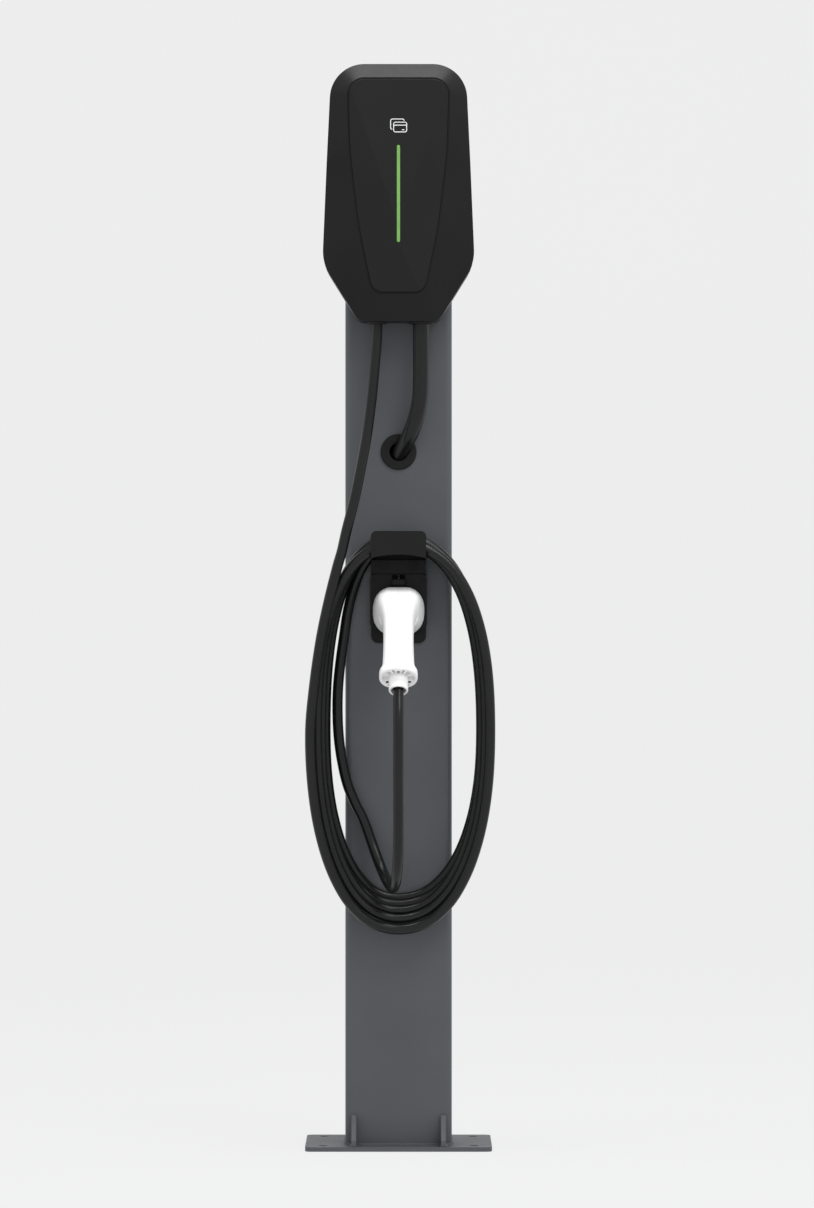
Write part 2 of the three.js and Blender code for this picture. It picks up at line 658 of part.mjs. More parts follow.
function currentSensor() {
  const low = BOX_BOTTOM + 137;
  const middle = BOARD_FRONT - GAP - 17;
  const made = box(8, 44, middle - 17, middle + 17, low, low + 15);
  return made.subtract(rod([26, middle, low - 5], [26, middle, low + 20], 9, 16));
}

// The sealing sleeve that a cable leaves the box through: a flange below, a tapered sleeve inside.
function exitSleeve({ x, radius }) {
  const bore = radius + GAP;
  const profile = [
    [bore, -COLLAR_DROP], [radius + 5, -COLLAR_DROP], [radius + 6, -GAP], [radius + 4, -GAP],
    [radius + 4, BOX_WALL], [radius + 2.2, BOX_WALL + 24], [bore, BOX_WALL + 24],
  ];
  return turned(profile, [x, EXIT_Y, BOX_BOTTOM], [0, 0, 1], 24);
}

// The nut that holds the sleeve, inside the box.
function exitNut({ x, radius }) {
  const low = BOX_BOTTOM + BOX_WALL + GAP;
  const nut = rod([x, EXIT_Y, low], [x, EXIT_Y, low + 6], radius + 8, 6);
  return nut.subtract(rod([x, EXIT_Y, low - 5], [x, EXIT_Y, low + 12], radius + 4 + GAP, 24));
}

// ---------------------------------------------------------------- hook and holster
function holsterScrewPlaces() {
  const places = [];
  for (const z of HOLSTER_SCREW_HEIGHTS) {
    for (const x of [-HOLSTER_SCREW_SIDE, HOLSTER_SCREW_SIDE]) places.push([x, z]);
  }
  return places;
}

// The cut-out behind the holster for its cup and its latch box.
function holsterOpening(front, back) {
  const cup = rod([0, front, SOCKET_HEIGHT], [0, back, SOCKET_HEIGHT], SOCKET_OUTER + GAP, 32);
  const side = LATCH_BOX_SIDE + GAP;
  return cup.add(box(-side, side, front, back, SOCKET_HEIGHT, LATCH_BOX_TOP + GAP));
}

// A shallow arch from left to right.
function arch(half, foot, rise, steps = 12) {
  const points = [];
  for (let i = 0; i <= steps; i += 1) {
    const x = half * ((2 * i) / steps - 1);
    points.push(new THREE.Vector2(x, foot + rise * (1 - (x / half) ** 2)));
  }
  return points;
}

function hookBracket() {
  const half = HOOK_WIDTH / 2;
  const right = [[half, HOOK_BOTTOM, 9, 3], [half, LIP_TOP - 2, 7, 3]];
  let made = slab(outline(symmetric(right)), HOOK_FRONT, HOOK_BACK);
  const under = arch(half, SADDLE_UNDER, SADDLE_UNDER_RISE);
  const over = arch(half, SADDLE_HEIGHT, SADDLE_RISE).reverse();
  made = made.add(box(-half, half, HOOK_BAR_FRONT, HOOK_FRONT + 1, HOOK_BAR_BOTTOM, HOOK_BAR_TOP));
  const lipFront = LIP_BACK - HOOK_SHEET;
  const lip = slab(rectangle(-half, half, SADDLE_UNDER, LIP_TOP, 7.3), lipFront, LIP_BACK);
  const corners = box(-half, half, lipFront, LIP_BACK, SADDLE_UNDER, SADDLE_UNDER + 8);
  made = made.add(lip.add(corners).subtract(slab(under, lipFront - 5, LIP_BACK + 5)));
  made = made.add(slab([...under, ...over], lipFront, HOOK_FRONT + 1));
  made = made.subtract(holsterOpening(HOOK_FRONT - 5, HOOK_BACK + 5));
  const z = HOOK_SCREW_HEIGHT;
  for (const x of [-HOOK_SCREW_SIDE, HOOK_SCREW_SIDE]) {
    const outside = [x, HOOK_BAR_FRONT - 5, z];
    made = made.subtract(rod(outside, [x, HOOK_BACK + 5, z], 2.9, 12));
    made = made.subtract(rod(outside, [x, HOOK_BAR_FRONT + 3, z], HOOK_SCREW_HEAD + 0.5, 20));
  }
  for (const [x, height] of holsterScrewPlaces()) {
    made = made.subtract(rod([x, HOOK_FRONT - 5, height], [x, HOOK_BACK + 5, height], 2, 12));
  }
  return made;
}

function holsterHousing() {
  const half = HOLSTER_WIDTH / 2;
  let made = slab(rectangle(-half, half, HOLSTER_BOTTOM, HOLSTER_TOP, 8), FLANGE_FRONT, FLANGE_BACK);
  const flange = [[0, FLANGE_FRONT, SOCKET_HEIGHT], [0, FLANGE_BACK, SOCKET_HEIGHT]];
  made = made.add(rod(flange[0], flange[1], SOCKET_OUTER + 4, 40));
  const end = FLANGE_BACK + SOCKET_LENGTH;
  made = made.add(rod([0, FLANGE_FRONT + 1, SOCKET_HEIGHT], [0, end, SOCKET_HEIGHT], SOCKET_OUTER, 40));
  const boxEnd = PIVOT_Y + 6;
  const boxSide = LATCH_BOX_SIDE;
  made = made.add(box(-boxSide, boxSide, FLANGE_BACK - 1, boxEnd, TONGUE_BOTTOM - 11, LATCH_BOX_TOP));
  const centre = (y) => [0, y, SOCKET_HEIGHT];
  made = made.subtract(rod(centre(FLANGE_FRONT - 5), centre(POCKET_FLOOR), POCKET_RADIUS, 40));
  made = made.subtract(rod(centre(POCKET_FLOOR - 5), centre(end - SOCKET_WALL), SOCKET_RADIUS, 40));
  const tongueSide = TONGUE_WIDTH / 2 + 0.6;
  const slot = (front, top) => box(-tongueSide, tongueSide, front, boxEnd - 2, TONGUE_BOTTOM - 0.6, top);
  made = made.subtract(slot(FLANGE_FRONT - 5, TONGUE_SLOT_TOP));
  made = made.subtract(slot(FLANGE_BACK + 1, LATCH_BOX_TOP - 2));
  made = made.subtract(pivotHole());
  for (const [x, z] of holsterScrewPlaces()) {
    made = made.subtract(rod([x, FLANGE_FRONT - 5, z], [x, FLANGE_BACK + 5, z], 2, 12));
  }
  return made;
}

function pivotHole() {
  const end = (x) => [x, PIVOT_Y, LATCH_PIVOT_HEIGHT];
  return rod(end(-BIG), end(BIG), LATCH_PIN + GAP, 14);
}

function latchTongue() {
  const front = FLANGE_FRONT - TONGUE_REACH;
  const back = PIVOT_Y + 3.4;
  const side = TONGUE_WIDTH / 2;
  const lever = [[front, TONGUE_BOTTOM + 2.5], [front + 2.5, TONGUE_BOTTOM], [back, TONGUE_BOTTOM + 1.4],
    [back, TONGUE_TOP - 2], [front + 1, TONGUE_TOP], [front, TONGUE_TOP - 1]];
  const made = strip(lever.map(([y, z]) => new THREE.Vector2(y, z)), -side, side);
  return made.subtract(pivotHole());
}

function latchPin() {
  const side = LATCH_BOX_SIDE - 0.2;
  return rod([-side, PIVOT_Y, LATCH_PIVOT_HEIGHT], [side, PIVOT_Y, LATCH_PIVOT_HEIGHT], LATCH_PIN, 14);
}

// The spring that pushes the tongue down, between it and the roof of the latch box.
function latchSpring() {
  const [low, high] = [TONGUE_TOP - 0.35, LATCH_BOX_TOP - 2.8];
  const [y, wire, radius, turns] = [PIVOT_Y - 8, 0.4, 2.2, 3];
  const points = [];
  const steps = turns * 8;
  for (let i = 0; i <= steps; i += 1) {
    const angle = (2 * Math.PI * i) / 8;
    const z = low + wire + ((high - low - 2 * wire) * i) / steps;
    points.push([radius * Math.cos(angle), y + radius * Math.sin(angle), z]);
  }
  return tube(route(points), wire, 6, steps);
}

// ---------------------------------------------------------------- charging connector
// A place on the connector's centre line: out of the nose, round the bend, down the handle.
function gripPlace(angle, beyond = 0) {
  const turn = THREE.MathUtils.degToRad(angle);
  const y = BEND_START - GRIP_BEND * Math.sin(turn) - beyond * Math.cos(turn);
  const z = SOCKET_HEIGHT - GRIP_BEND * (1 - Math.cos(turn)) - beyond * Math.sin(turn);
  return { y, z, turn };
}

// A cross-section there: a full ellipse with an optional flat on top.
function section({ y, z, turn }, width, height, fullness, flat = height, sides = 28) {
  const ring = [];
  for (let i = 0; i < sides; i += 1) {
    const angle = (2 * Math.PI * (i + 0.5)) / sides;
    const [c, s] = [Math.cos(angle), Math.sin(angle)];
    const x = width * Math.sign(c) * Math.abs(c) ** (2 / fullness);
    const v = Math.min(height * Math.sign(s) * Math.abs(s) ** (2 / fullness), flat);
    ring.push(new THREE.Vector3(x, y - v * Math.sin(turn), z + v * Math.cos(turn)));
  }
  return ring;
}

// [angle, distance beyond the bend, half width, half height, fullness, flat above the centre]
const GRIP_SECTIONS = [
  [12, 0, 29.5, 31, 2.2, 29],
  [30, 0, 25, 27, 2.4, 27],
  [44, 0, 21.8, 24, 2.5, 24],
  [GRIP_ANGLE, 0, 20.5, 22, 2.5, 22],
  [GRIP_ANGLE, GRIP_LENGTH * 0.5, 20.8, 21.5, 2.5, 21.5],
  [GRIP_ANGLE, GRIP_LENGTH, 22, 22, 2.4, 22],
];

function gripBody(wall, overrun) {
  const rim = { y: HOOD_RIM + overrun, z: SOCKET_HEIGHT, turn: 0 };
  const hood = { y: BEND_START + 4, z: SOCKET_HEIGHT, turn: 0 };
  const rings = [
    section(rim, HOOD_RADIUS - wall, HOOD_RADIUS - wall, 2, HOOD_FLAT - wall),
    section(hood, HOOD_RADIUS - 0.7 - wall, HOOD_RADIUS - 0.7 - wall, 2, HOOD_FLAT - 0.7 - wall),
  ];
  GRIP_SECTIONS.forEach(([angle, beyond, width, height, fullness, flat], i) => {
    const extra = i === GRIP_SECTIONS.length - 1 ? overrun : 0;
    rings.push(section(gripPlace(angle, beyond + extra), width - wall, height - wall, fullness, flat - wall));
  });
  return lofted(rings);
}

function connectorShell(side) {
  const shell = gripBody(0, 0).subtract(gripBody(SHELL_WALL, 6));
  const [x0, x1] = side < 0 ? [-BIG, -GAP / 2] : [GAP / 2, BIG];
  return shell.intersect(box(x0, x1, -BIG, BIG, 0, 1000));
}

function connectorNose() {
  const flangeFront = HOOD_RIM - 10;
  const flangeBack = HOOD_RIM - 4.2;
  const end = HOOD_RIM + NOSE_LENGTH;
  let made = rod([0, flangeFront, SOCKET_HEIGHT], [0, flangeBack, SOCKET_HEIGHT], NOSE_FLANGE, 32);
  const barrel = rod([0, flangeBack - 1, SOCKET_HEIGHT], [0, end, SOCKET_HEIGHT], NOSE_RADIUS, 32);
  const cut = box(-BIG, BIG, flangeBack + 0.1, BIG, SOCKET_HEIGHT + NOSE_RADIUS - 6.8, SOCKET_HEIGHT + 60);
  made = made.add(barrel.subtract(cut));
  for (const [, x, z] of CONTACTS) {
    made = made.subtract(rod([x, flangeFront - 5, z], [x, end + 5, z], CONTACT_RADIUS + GAP, 12));
  }
  return made;
}

const CONTACTS = [
  ['line', -12.5, SOCKET_HEIGHT],
  ['neutral', 12.5, SOCKET_HEIGHT],
  ['earth', 0, SOCKET_HEIGHT],
  ['pilot', -6.5, SOCKET_HEIGHT + 11],
  ['proximity', 6.5, SOCKET_HEIGHT + 11],
];

function contact([, x, z]) {
  return rod([x, HOOD_RIM - 14, z], [x, HOOD_RIM + NOSE_LENGTH - 8, z], CONTACT_RADIUS, 10);
}

function noseSeal() {
  const [inner, outer] = [NOSE_RADIUS + GAP, NOSE_FLANGE + 0.2];
  const profile = [[inner, 0], [outer, 0], [outer, 3], [inner, 3]];
  return turned(profile, [0, HOOD_RIM - 3.8, SOCKET_HEIGHT], [0, 1, 0]);
}

// Distances from here on run along the handle, past its end.
function alongGrip(beyond, x = 0, v = 0) {
  const { y, z, turn } = gripPlace(GRIP_ANGLE, GRIP_LENGTH + beyond);
  return [x, y - v * Math.sin(turn), z + v * Math.cos(turn)];
}

function endCapScrews() {
  return [[0, 16.3], [-14.3, -8], [14.3, -8]];
}

function endCap() {
  const stations = [
    [GAP, 22.2, 21.6], [3, 25.3, 24.6], [END_CAP_LENGTH - 2, 25.3, 24.6], [END_CAP_LENGTH, 23.8, 23.1],
  ];
  let made = lofted(stations.map(([s, width, height]) => (
    section(gripPlace(GRIP_ANGLE, GRIP_LENGTH + s), width, height, 2.2))));
  made = made.subtract(rod(alongGrip(-5), alongGrip(END_CAP_LENGTH + 5), COLLAR_BORE, 20));
  for (const [x, v] of endCapScrews()) {
    const outside = alongGrip(END_CAP_LENGTH + 5, x, v);
    made = made.subtract(rod(alongGrip(-5, x, v), outside, 1.7, 10));
    made = made.subtract(rod(alongGrip(END_CAP_LENGTH - 2.6, x, v), outside, 2.8, 12));
  }
  return made;
}

function endCapScrew([x, v]) {
  const top = END_CAP_LENGTH - 2.3;
  const head = rod(alongGrip(top, x, v), alongGrip(top + 2, x, v), 2.4, 12);
  return head.add(rod(alongGrip(-6, x, v), alongGrip(top + 0.5, x, v), 1.3, 8));
}

function cableCollar() {
  const start = END_CAP_LENGTH + GAP;
  const end = END_CAP_LENGTH + COLLAR_LENGTH;
  const made = rod(alongGrip(start), alongGrip(end), COLLAR_RADIUS, 28);
  return made.subtract(rod(alongGrip(start - 5), alongGrip(end + 5), COLLAR_BORE, 24));
}

// ---------------------------------------------------------------- materials
function finish(color, roughness, metalness = 0) {
  return { color, roughness, metalness };
}

const POWDER = finish(0x5a5c60, 0.6, 0.3);
const BLACK = finish(0x2b2b2b, 0.5);
const GLOSS = finish(0x262626, 0.3);
const WHITE = finish(0xf5f5f5, 0.35);
const RUBBER = finish(0x363837, 0.55);
const STEEL = finish(0x9a9c9f, 0.35, 0.9);
const BRASS = finish(0xb89a5a, 0.3, 0.9);
const BOARD = finish(0x1d5a3a, 0.6);
const LAMP = finish(0x7dc45a, 0.4);

const post = new THREE.Group();

function piece(name, made, look) {
  const { vertProperties, triVerts, numProp } = made.getMesh();
  const positions = new Float32Array((vertProperties.length / numProp) * 3);
  for (let i = 0; i < positions.length / 3; i += 1) {
    for (let k = 0; k < 3; k += 1) positions[3 * i + k] = vertProperties[numProp * i + k];
  }
  const geometry = new THREE.BufferGeometry();
  geometry.setAttribute('position', new THREE.Float32BufferAttribute(positions, 3));
  geometry.setIndex(Array.from(triVerts));
  geometry.computeVertexNormals();
  const mesh = new THREE.Mesh(geometry, new THREE.MeshStandardMaterial(look));
  mesh.name = name;
  post.add(mesh);
}

// ---------------------------------------------------------------- the assembly
piece('base_plate', basePlate(), POWDER);
piece('column_shell', columnShell(), POWDER);
piece('column_top_cap', topCap(), BLACK);
piece('rib_front_left', rib(-RIB_SIDE, -1), POWDER);
piece('rib_front_right', rib(RIB_SIDE, -1), POWDER);
piece('rib_rear_left', rib(-RIB_SIDE, 1), POWDER);
piece('rib_rear_right', rib(RIB_SIDE, 1), POWDER);
piece('cable_grommet', grommet(), BLACK);
piece('supply_cable', tube(route(SUPPLY_ROUTE), SUPPLY_RADIUS, 12, 44), RUBBER);

piece('wallbox_bracket', bracket(), STEEL);
bracketScrewHeights().forEach((z, i) => {
  const name = ['bracket_screw_lower', 'bracket_screw_upper'][i];
  piece(name, screwY(0, z, BRACKET_BACK - BRACKET_SHEET - GAP, 4.5, 2.8, 2.5, 12), STEEL);
});
piece('rear_housing', rearHousing(), BLACK);
piece('housing_gasket', gasket(), RUBBER);
piece('front_cover', frontCover(), BLACK);
piece('front_panel', frontPanel(), GLOSS);
piece('light_bar', lightBar(), LAMP);
piece('light_board', lightBoard(), BOARD);
piece('card_reader_board', cardReaderBoard(), BOARD);
piece('main_board', mainBoard(), BOARD);
piece('power_relay', relay(), GLOSS);
piece('terminal_block', terminalBlock(), BOARD);
piece('current_sensor', currentSensor(), GLOSS);
cableExits().forEach((exit, i) => {
  const cable = ['lead', 'supply'][i];
  piece(`${cable}_exit_sleeve`, exitSleeve(exit), RUBBER);
  piece(`${cable}_exit_nut`, exitNut(exit), BLACK);
});
coverScrewPlaces().forEach(([x, z], i) => {
  const head = rod([x, HOUSING_BACK + GAP, z], [x, HOUSING_BACK + GAP + 2.4, z], 3.4, 14);
  const shank = rod([x, HOUSING_BACK - 16, z], [x, HOUSING_BACK + 1, z], 1.6, 8);
  piece(`cover_screw_${i + 1}`, head.add(shank), STEEL);
});

piece('hook_bracket', hookBracket(), BLACK);
[-HOOK_SCREW_SIDE, HOOK_SCREW_SIDE].forEach((x, i) => {
  const screw = screwY(x, HOOK_SCREW_HEIGHT, HOOK_BAR_FRONT + 3 - GAP, HOOK_SCREW_HEAD, 2.4, 2.5, 25);
  piece(`hook_screw_${['left', 'right'][i]}`, screw, BLACK);
});
piece('holster_housing', holsterHousing(), BLACK);
holsterScrewPlaces().forEach(([x, z], i) => {
  piece(`holster_screw_${i + 1}`, screwY(x, z, FLANGE_FRONT - GAP, 2.3, 1.4, 1.6, 18), BLACK);
});
piece('latch_tongue', latchTongue(), BLACK);
piece('latch_pin', latchPin(), STEEL);
piece('latch_spring', latchSpring(), STEEL);

piece('connector_shell_left', connectorShell(-1), WHITE);
piece('connector_shell_right', connectorShell(1), WHITE);
piece('connector_nose', connectorNose(), BLACK);
for (const place of CONTACTS) piece(`contact_${place[0]}`, contact(place), BRASS);
piece('nose_seal', noseSeal(), RUBBER);
piece('end_cap', endCap(), WHITE);
endCapScrews().forEach((place, i) => piece(`end_cap_screw_${i + 1}`, endCapScrew(place), STEEL));
piece('cable_collar', cableCollar(), WHITE);

piece('charging_cable_lead', tube(route(LEAD_ROUTE), LEAD_RADIUS, 10, 12), RUBBER);
piece('charging_cable_coil', coil(), RUBBER);
const tailEnd = alongGrip(END_CAP_LENGTH + COLLAR_LENGTH + GAP);
piece('charging_cable_tail', tube(route([...TAIL_ROUTE, tailEnd]), LEAD_RADIUS, 10, 40), RUBBER);

export default post;
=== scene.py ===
# %% [markdown]
# # A charging post for cars, built around its measured frame
# The post is a steel column on a foot plate. It carries a moulded wall box, a hook with a coil of cable,
# and a holster that holds the charging connector. The measured parts are loaded first and never moved.
# Each lesson below dresses one of them or builds a finer piece in its place.

# %% The measured frame
import math

import bmesh
import bpy
import numpy as np
from mathutils import Matrix, Vector
from mathutils.bvhtree import BVHTree


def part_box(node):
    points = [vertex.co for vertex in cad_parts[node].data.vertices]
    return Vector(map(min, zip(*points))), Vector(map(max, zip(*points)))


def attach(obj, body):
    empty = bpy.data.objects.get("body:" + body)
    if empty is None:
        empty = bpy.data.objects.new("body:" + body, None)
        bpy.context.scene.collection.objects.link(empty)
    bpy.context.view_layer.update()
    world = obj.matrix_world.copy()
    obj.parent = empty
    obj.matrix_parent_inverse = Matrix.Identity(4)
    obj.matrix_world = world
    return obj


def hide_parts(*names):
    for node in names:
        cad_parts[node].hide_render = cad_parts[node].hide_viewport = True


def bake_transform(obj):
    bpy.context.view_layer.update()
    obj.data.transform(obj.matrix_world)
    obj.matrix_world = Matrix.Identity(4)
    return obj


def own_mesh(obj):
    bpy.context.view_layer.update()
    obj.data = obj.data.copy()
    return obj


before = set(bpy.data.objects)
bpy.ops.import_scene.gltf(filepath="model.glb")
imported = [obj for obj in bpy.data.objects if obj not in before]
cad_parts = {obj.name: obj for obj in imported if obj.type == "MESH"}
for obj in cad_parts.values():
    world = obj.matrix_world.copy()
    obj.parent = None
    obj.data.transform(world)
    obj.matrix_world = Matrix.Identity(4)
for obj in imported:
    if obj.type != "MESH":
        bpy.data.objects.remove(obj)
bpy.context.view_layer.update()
MM = 0.001

# %% [markdown]
# ## The camera
# A product view of something tall and slim is taken from far away with a long lens, so that the column's
# sides stay parallel. The camera stands seven and a half metres in front, level, at half the post's height.

# %% The camera
CAMERA_PLACE = (0.0113, -7.552, 0.7314)
SENSOR_HEIGHT_MM = 24.0
LENS_MM = 111.04
FARTHEST_SEEN = 60.0
camera = bpy.data.objects.new("front_camera", bpy.data.cameras.new("front_camera"))
camera.data.sensor_fit = "VERTICAL"
camera.data.sensor_height = SENSOR_HEIGHT_MM
camera.data.lens = LENS_MM
camera.data.clip_end = FARTHEST_SEEN
camera.location = CAMERA_PLACE
camera.rotation_euler = (math.pi / 2, 0, 0)
bpy.context.collection.objects.link(camera)
bpy.context.scene.camera = camera
print("camera at", tuple(camera.location), "lens", camera.data.lens)

# %% [markdown]
# ## Smooth lines and tubes
# A cable is a round section carried along a smooth line. Blender's curve objects could do this, but a tube
# made in code keeps evenly spaced rings, and its middle line is known exactly. The line runs through a few
# chosen points: where the points crowd together, the square-root spacing keeps it from overshooting.

# %% Lines and tubes
def smooth_line(points, spacing):
    """Evenly spaced points on a smooth curve through the given ones."""
    p = np.array(points, float)
    p = np.vstack([2 * p[0] - p[1], p, 2 * p[-1] - p[-2]])
    fine = []
    for a, b, c, d in zip(p, p[1:], p[2:], p[3:]):
        knots = np.cumsum([0] + [np.linalg.norm(v) ** 0.5 for v in (b - a, c - b, d - c)])
        t0, t1, t2, t3 = knots
        t = np.linspace(t1, t2, 24, endpoint=False)[:, None]
        ab = (t1 - t) / (t1 - t0) * a + (t - t0) / (t1 - t0) * b
        bc = (t2 - t) / (t2 - t1) * b + (t - t1) / (t2 - t1) * c
        cd = (t3 - t) / (t3 - t2) * c + (t - t2) / (t3 - t2) * d
        abc = (t2 - t) / (t2 - t0) * ab + (t - t0) / (t2 - t0) * bc
        bcd = (t3 - t) / (t3 - t1) * bc + (t - t1) / (t3 - t1) * cd
        fine.append((t2 - t) / (t2 - t1) * abc + (t - t1) / (t2 - t1) * bcd)
    fine = np.vstack([*fine, p[-2:-1]])
    along = np.concatenate([[0], np.cumsum(np.linalg.norm(np.diff(fine, axis=0), axis=1))])
    count = max(2, round(along[-1] / spacing) + 1)
    wanted = np.linspace(0, along[-1], count)
    return np.stack([np.interp(wanted, along, column) for column in fine.T], axis=1)


def tube(line, radii, sides):
    """Vertices and faces of a round tube along a line; radii is one number, or one for each point."""
    line = np.array(line, float)
    radii = np.broadcast_to(np.array(radii, float), (len(line),))
    tangents = np.gradient(line, axis=0)
    tangents /= np.linalg.norm(tangents, axis=1)[:, None]
    side = np.cross(tangents[0], (0.0, 0.0, 1.0) if abs(tangents[0][2]) < 0.9 else (1.0, 0.0, 0.0))
    side /= np.linalg.norm(side)
    angles = np.arange(sides) * 2 * math.pi / sides
    vertices = []
    for centre, ahead, radius in zip(line, tangents, radii):
        side = side - ahead * side.dot(ahead)
        side /= np.linalg.norm(side)
        up = np.cross(ahead, side)
        for angle in angles:
            vertices.append(centre + radius * (math.cos(angle) * side + math.sin(angle) * up))
    return vertices, joined_rings(len(line), sides)


def joined_rings(rings, sides, capped=True):
    """Faces between rings of vertices that follow each other, with a face on each end."""
    faces = []
    for i in range(rings - 1):
        for j in range(sides):
            k = (j + 1) % sides
            faces.append((i * sides + j, i * sides + k, (i + 1) * sides + k, (i + 1) * sides + j))
    if capped:
        faces.append(tuple(range(sides))[::-1])
        faces.append(tuple(range((rings - 1) * sides, rings * sides)))
    return faces


def together(*parts):
    """Several sets of vertices and faces as one."""
    vertices, faces = [], []
    for more, rows in parts:
        faces += [tuple(i + len(vertices) for i in row) for row in rows]
        vertices += list(more)
    return vertices, faces


# %% [markdown]
# ## Turning shapes into pieces
# Every piece needs the same few steps: a mesh with its faces turned outwards, smooth shading that stops at
# real corners, a finish, and a body to ride on. One helper does them all, so no step is forgotten.
# A second helper rounds the edges, because on real parts no edge is perfectly sharp, and the thin
# highlight along a small radius is what makes an edge look made.

# %% Pieces
def shade(mesh, angle=32):
    mesh.polygons.foreach_set("use_smooth", [True] * len(mesh.polygons))
    mesh.set_sharp_from_angle(angle=math.radians(angle))


def face_outwards(mesh):
    shape = bmesh.new()
    shape.from_mesh(mesh)
    bmesh.ops.remove_doubles(shape, verts=shape.verts, dist=1e-6)
    bmesh.ops.recalc_face_normals(shape, faces=shape.faces)
    shape.to_mesh(mesh)
    shape.free()


def new_shape(name, shape, angle=32):
    """An object made from vertices and faces, not yet part of the post."""
    mesh = bpy.data.meshes.new(name)
    mesh.from_pydata([tuple(v) for v in shape[0]], [], shape[1])
    face_outwards(mesh)
    shade(mesh, angle)
    made = bpy.data.objects.new(name, mesh)
    bpy.context.collection.objects.link(made)
    return made


def settle(piece, body, finish, replaced=()):
    """Gives a piece its finish and the body that it rides on."""
    piece.data.materials.clear()
    piece.data.materials.append(finish)
    if body:
        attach(piece, body)
    if replaced:
        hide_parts(*replaced)
    print(f"{piece.name}: {len(piece.data.polygons)} faces on {body or 'two bodies'}")
    return piece


def round_edges(piece, width, segments=2, angle=35, merge_flats=False):
    """Small radii on every edge that turns more than the angle."""
    if merge_flats:
        flat = piece.modifiers.new("one_face_per_flat", "DECIMATE")
        flat.decimate_type = "DISSOLVE"
        flat.angle_limit = math.radians(0.6)
    edge = piece.modifiers.new("rounded_edges", "BEVEL")
    edge.width = width
    edge.segments = segments
    edge.limit_method = "ANGLE"
    edge.angle_limit = math.radians(angle)
    edge.harden_normals = True
    return piece


def apply_modifiers(piece):
    """Replaces a piece's mesh by the one that its modifiers make."""
    bpy.context.view_layer.update()
    ready = piece.evaluated_get(bpy.context.evaluated_depsgraph_get())
    mesh = bpy.data.meshes.new_from_object(ready)
    piece.modifiers.clear()
    piece.data = mesh
    return piece


def combine(piece, tool, operation):
    """Cuts a tool shape out of a piece, or joins it on, and throws the tool away."""
    cut = piece.modifiers.new(operation, "BOOLEAN")
    cut.operation = operation
    cut.solver = "EXACT"
    cut.object = tool
    apply_modifiers(piece)
    bpy.data.objects.remove(tool)
    shade(piece.data)
    return piece


# %% [markdown]
# ## Finishes
# Every finish starts from the same physically based shader, and three layers of noise turn a plain colour
# into a material: a slow one shifts the colour slightly, a middle one makes some patches glossier than
# others, and a fine one is the grain that is felt with a fingernail. The coordinates are the object's own,
# so the grain stays put when a piece moves.

# %% A shader with colour drift, gloss drift and grain
GLOSS_DRIFT = 0.15


def mixed_finish(name, dark, light, roughness, patch, grain, height, metallic=0.0, coat=0.0, shine=0.5):
    """dark and light are the two colours it drifts between, patch and grain sizes are in metres."""
    made = bpy.data.materials.new(name)
    made.use_nodes = True
    nodes, links = made.node_tree.nodes, made.node_tree.links
    shader = nodes["Principled BSDF"]
    shader.inputs["Metallic"].default_value = metallic
    shader.inputs["Specular IOR Level"].default_value = shine
    shader.inputs["Coat Weight"].default_value = coat
    shader.inputs["Coat Roughness"].default_value = 0.2
    place = nodes.new("ShaderNodeTexCoord").outputs["Object"]

    def noise(size, detail):
        node = nodes.new("ShaderNodeTexNoise")
        node.inputs["Scale"].default_value = 1 / size
        node.inputs["Detail"].default_value = detail
        links.new(place, node.inputs["Vector"])
        return node.outputs["Fac"]

    ramp = nodes.new("ShaderNodeValToRGB")
    ramp.color_ramp.elements[0].position = 0.3
    ramp.color_ramp.elements[0].color = (*dark, 1)
    ramp.color_ramp.elements[1].position = 0.7
    ramp.color_ramp.elements[1].color = (*light, 1)
    links.new(noise(patch, 3), ramp.inputs["Fac"])
    links.new(ramp.outputs["Color"], shader.inputs["Base Color"])

    gloss = nodes.new("ShaderNodeMapRange")
    gloss.inputs["To Min"].default_value = roughness * (1 - GLOSS_DRIFT)
    gloss.inputs["To Max"].default_value = roughness * (1 + GLOSS_DRIFT)
    links.new(noise(patch / 4, 5), gloss.inputs["Value"])
    links.new(gloss.outputs["Result"], shader.inputs["Roughness"])

    bump = nodes.new("ShaderNodeBump")
    bump.inputs["Strength"].default_value = 1.0
    bump.inputs["Distance"].default_value = height
    links.new(noise(grain, 2), bump.inputs["Height"])
    links.new(bump.outputs["Normal"], shader.inputs["Normal"])
    return made


def tone(code):
    """A linear colour from the usual six hexadecimal digits."""
    values = [int(code[i:i + 2], 16) / 255 for i in (0, 2, 4)]
    return [v / 12.92 if v <= 0.04045 else ((v + 0.055) / 1.055) ** 2.4 for v in values]


POWDER = mixed_finish("grey_powder_coat", tone("4c4f53"), tone("525559"), 0.5, 0.12, 0.0012, 0.00006,
                      shine=0.4)
BLACK_STEEL = mixed_finish("black_powder_coat", tone("101011"), tone("141415"), 0.5, 0.08, 0.001, 0.00005,
                           shine=0.2)
HOUSING = mixed_finish("moulded_black", tone("151516"), tone("19191a"), 0.42, 0.09, 0.0007, 0.00003,
                       shine=0.17)
PANEL = mixed_finish("satin_black", tone("171718"), tone("1b1b1c"), 0.36, 0.15, 0.0006, 0.000012,
                     shine=0.19)
RUBBER = mixed_finish("soft_rubber", tone("0e0e0f"), tone("131314"), 0.62, 0.03, 0.0009, 0.00004,
                      shine=0.25)
JACKET = mixed_finish("cable_sheath", tone("0d0e0e"), tone("111212"), 0.3, 0.06, 0.0022, 0.000006,
                      shine=0.32)
ZINC = mixed_finish("zinc_plate", tone("8f9193"), tone("a9abad"), 0.32, 0.01, 0.0008, 0.00001, metallic=1.0)
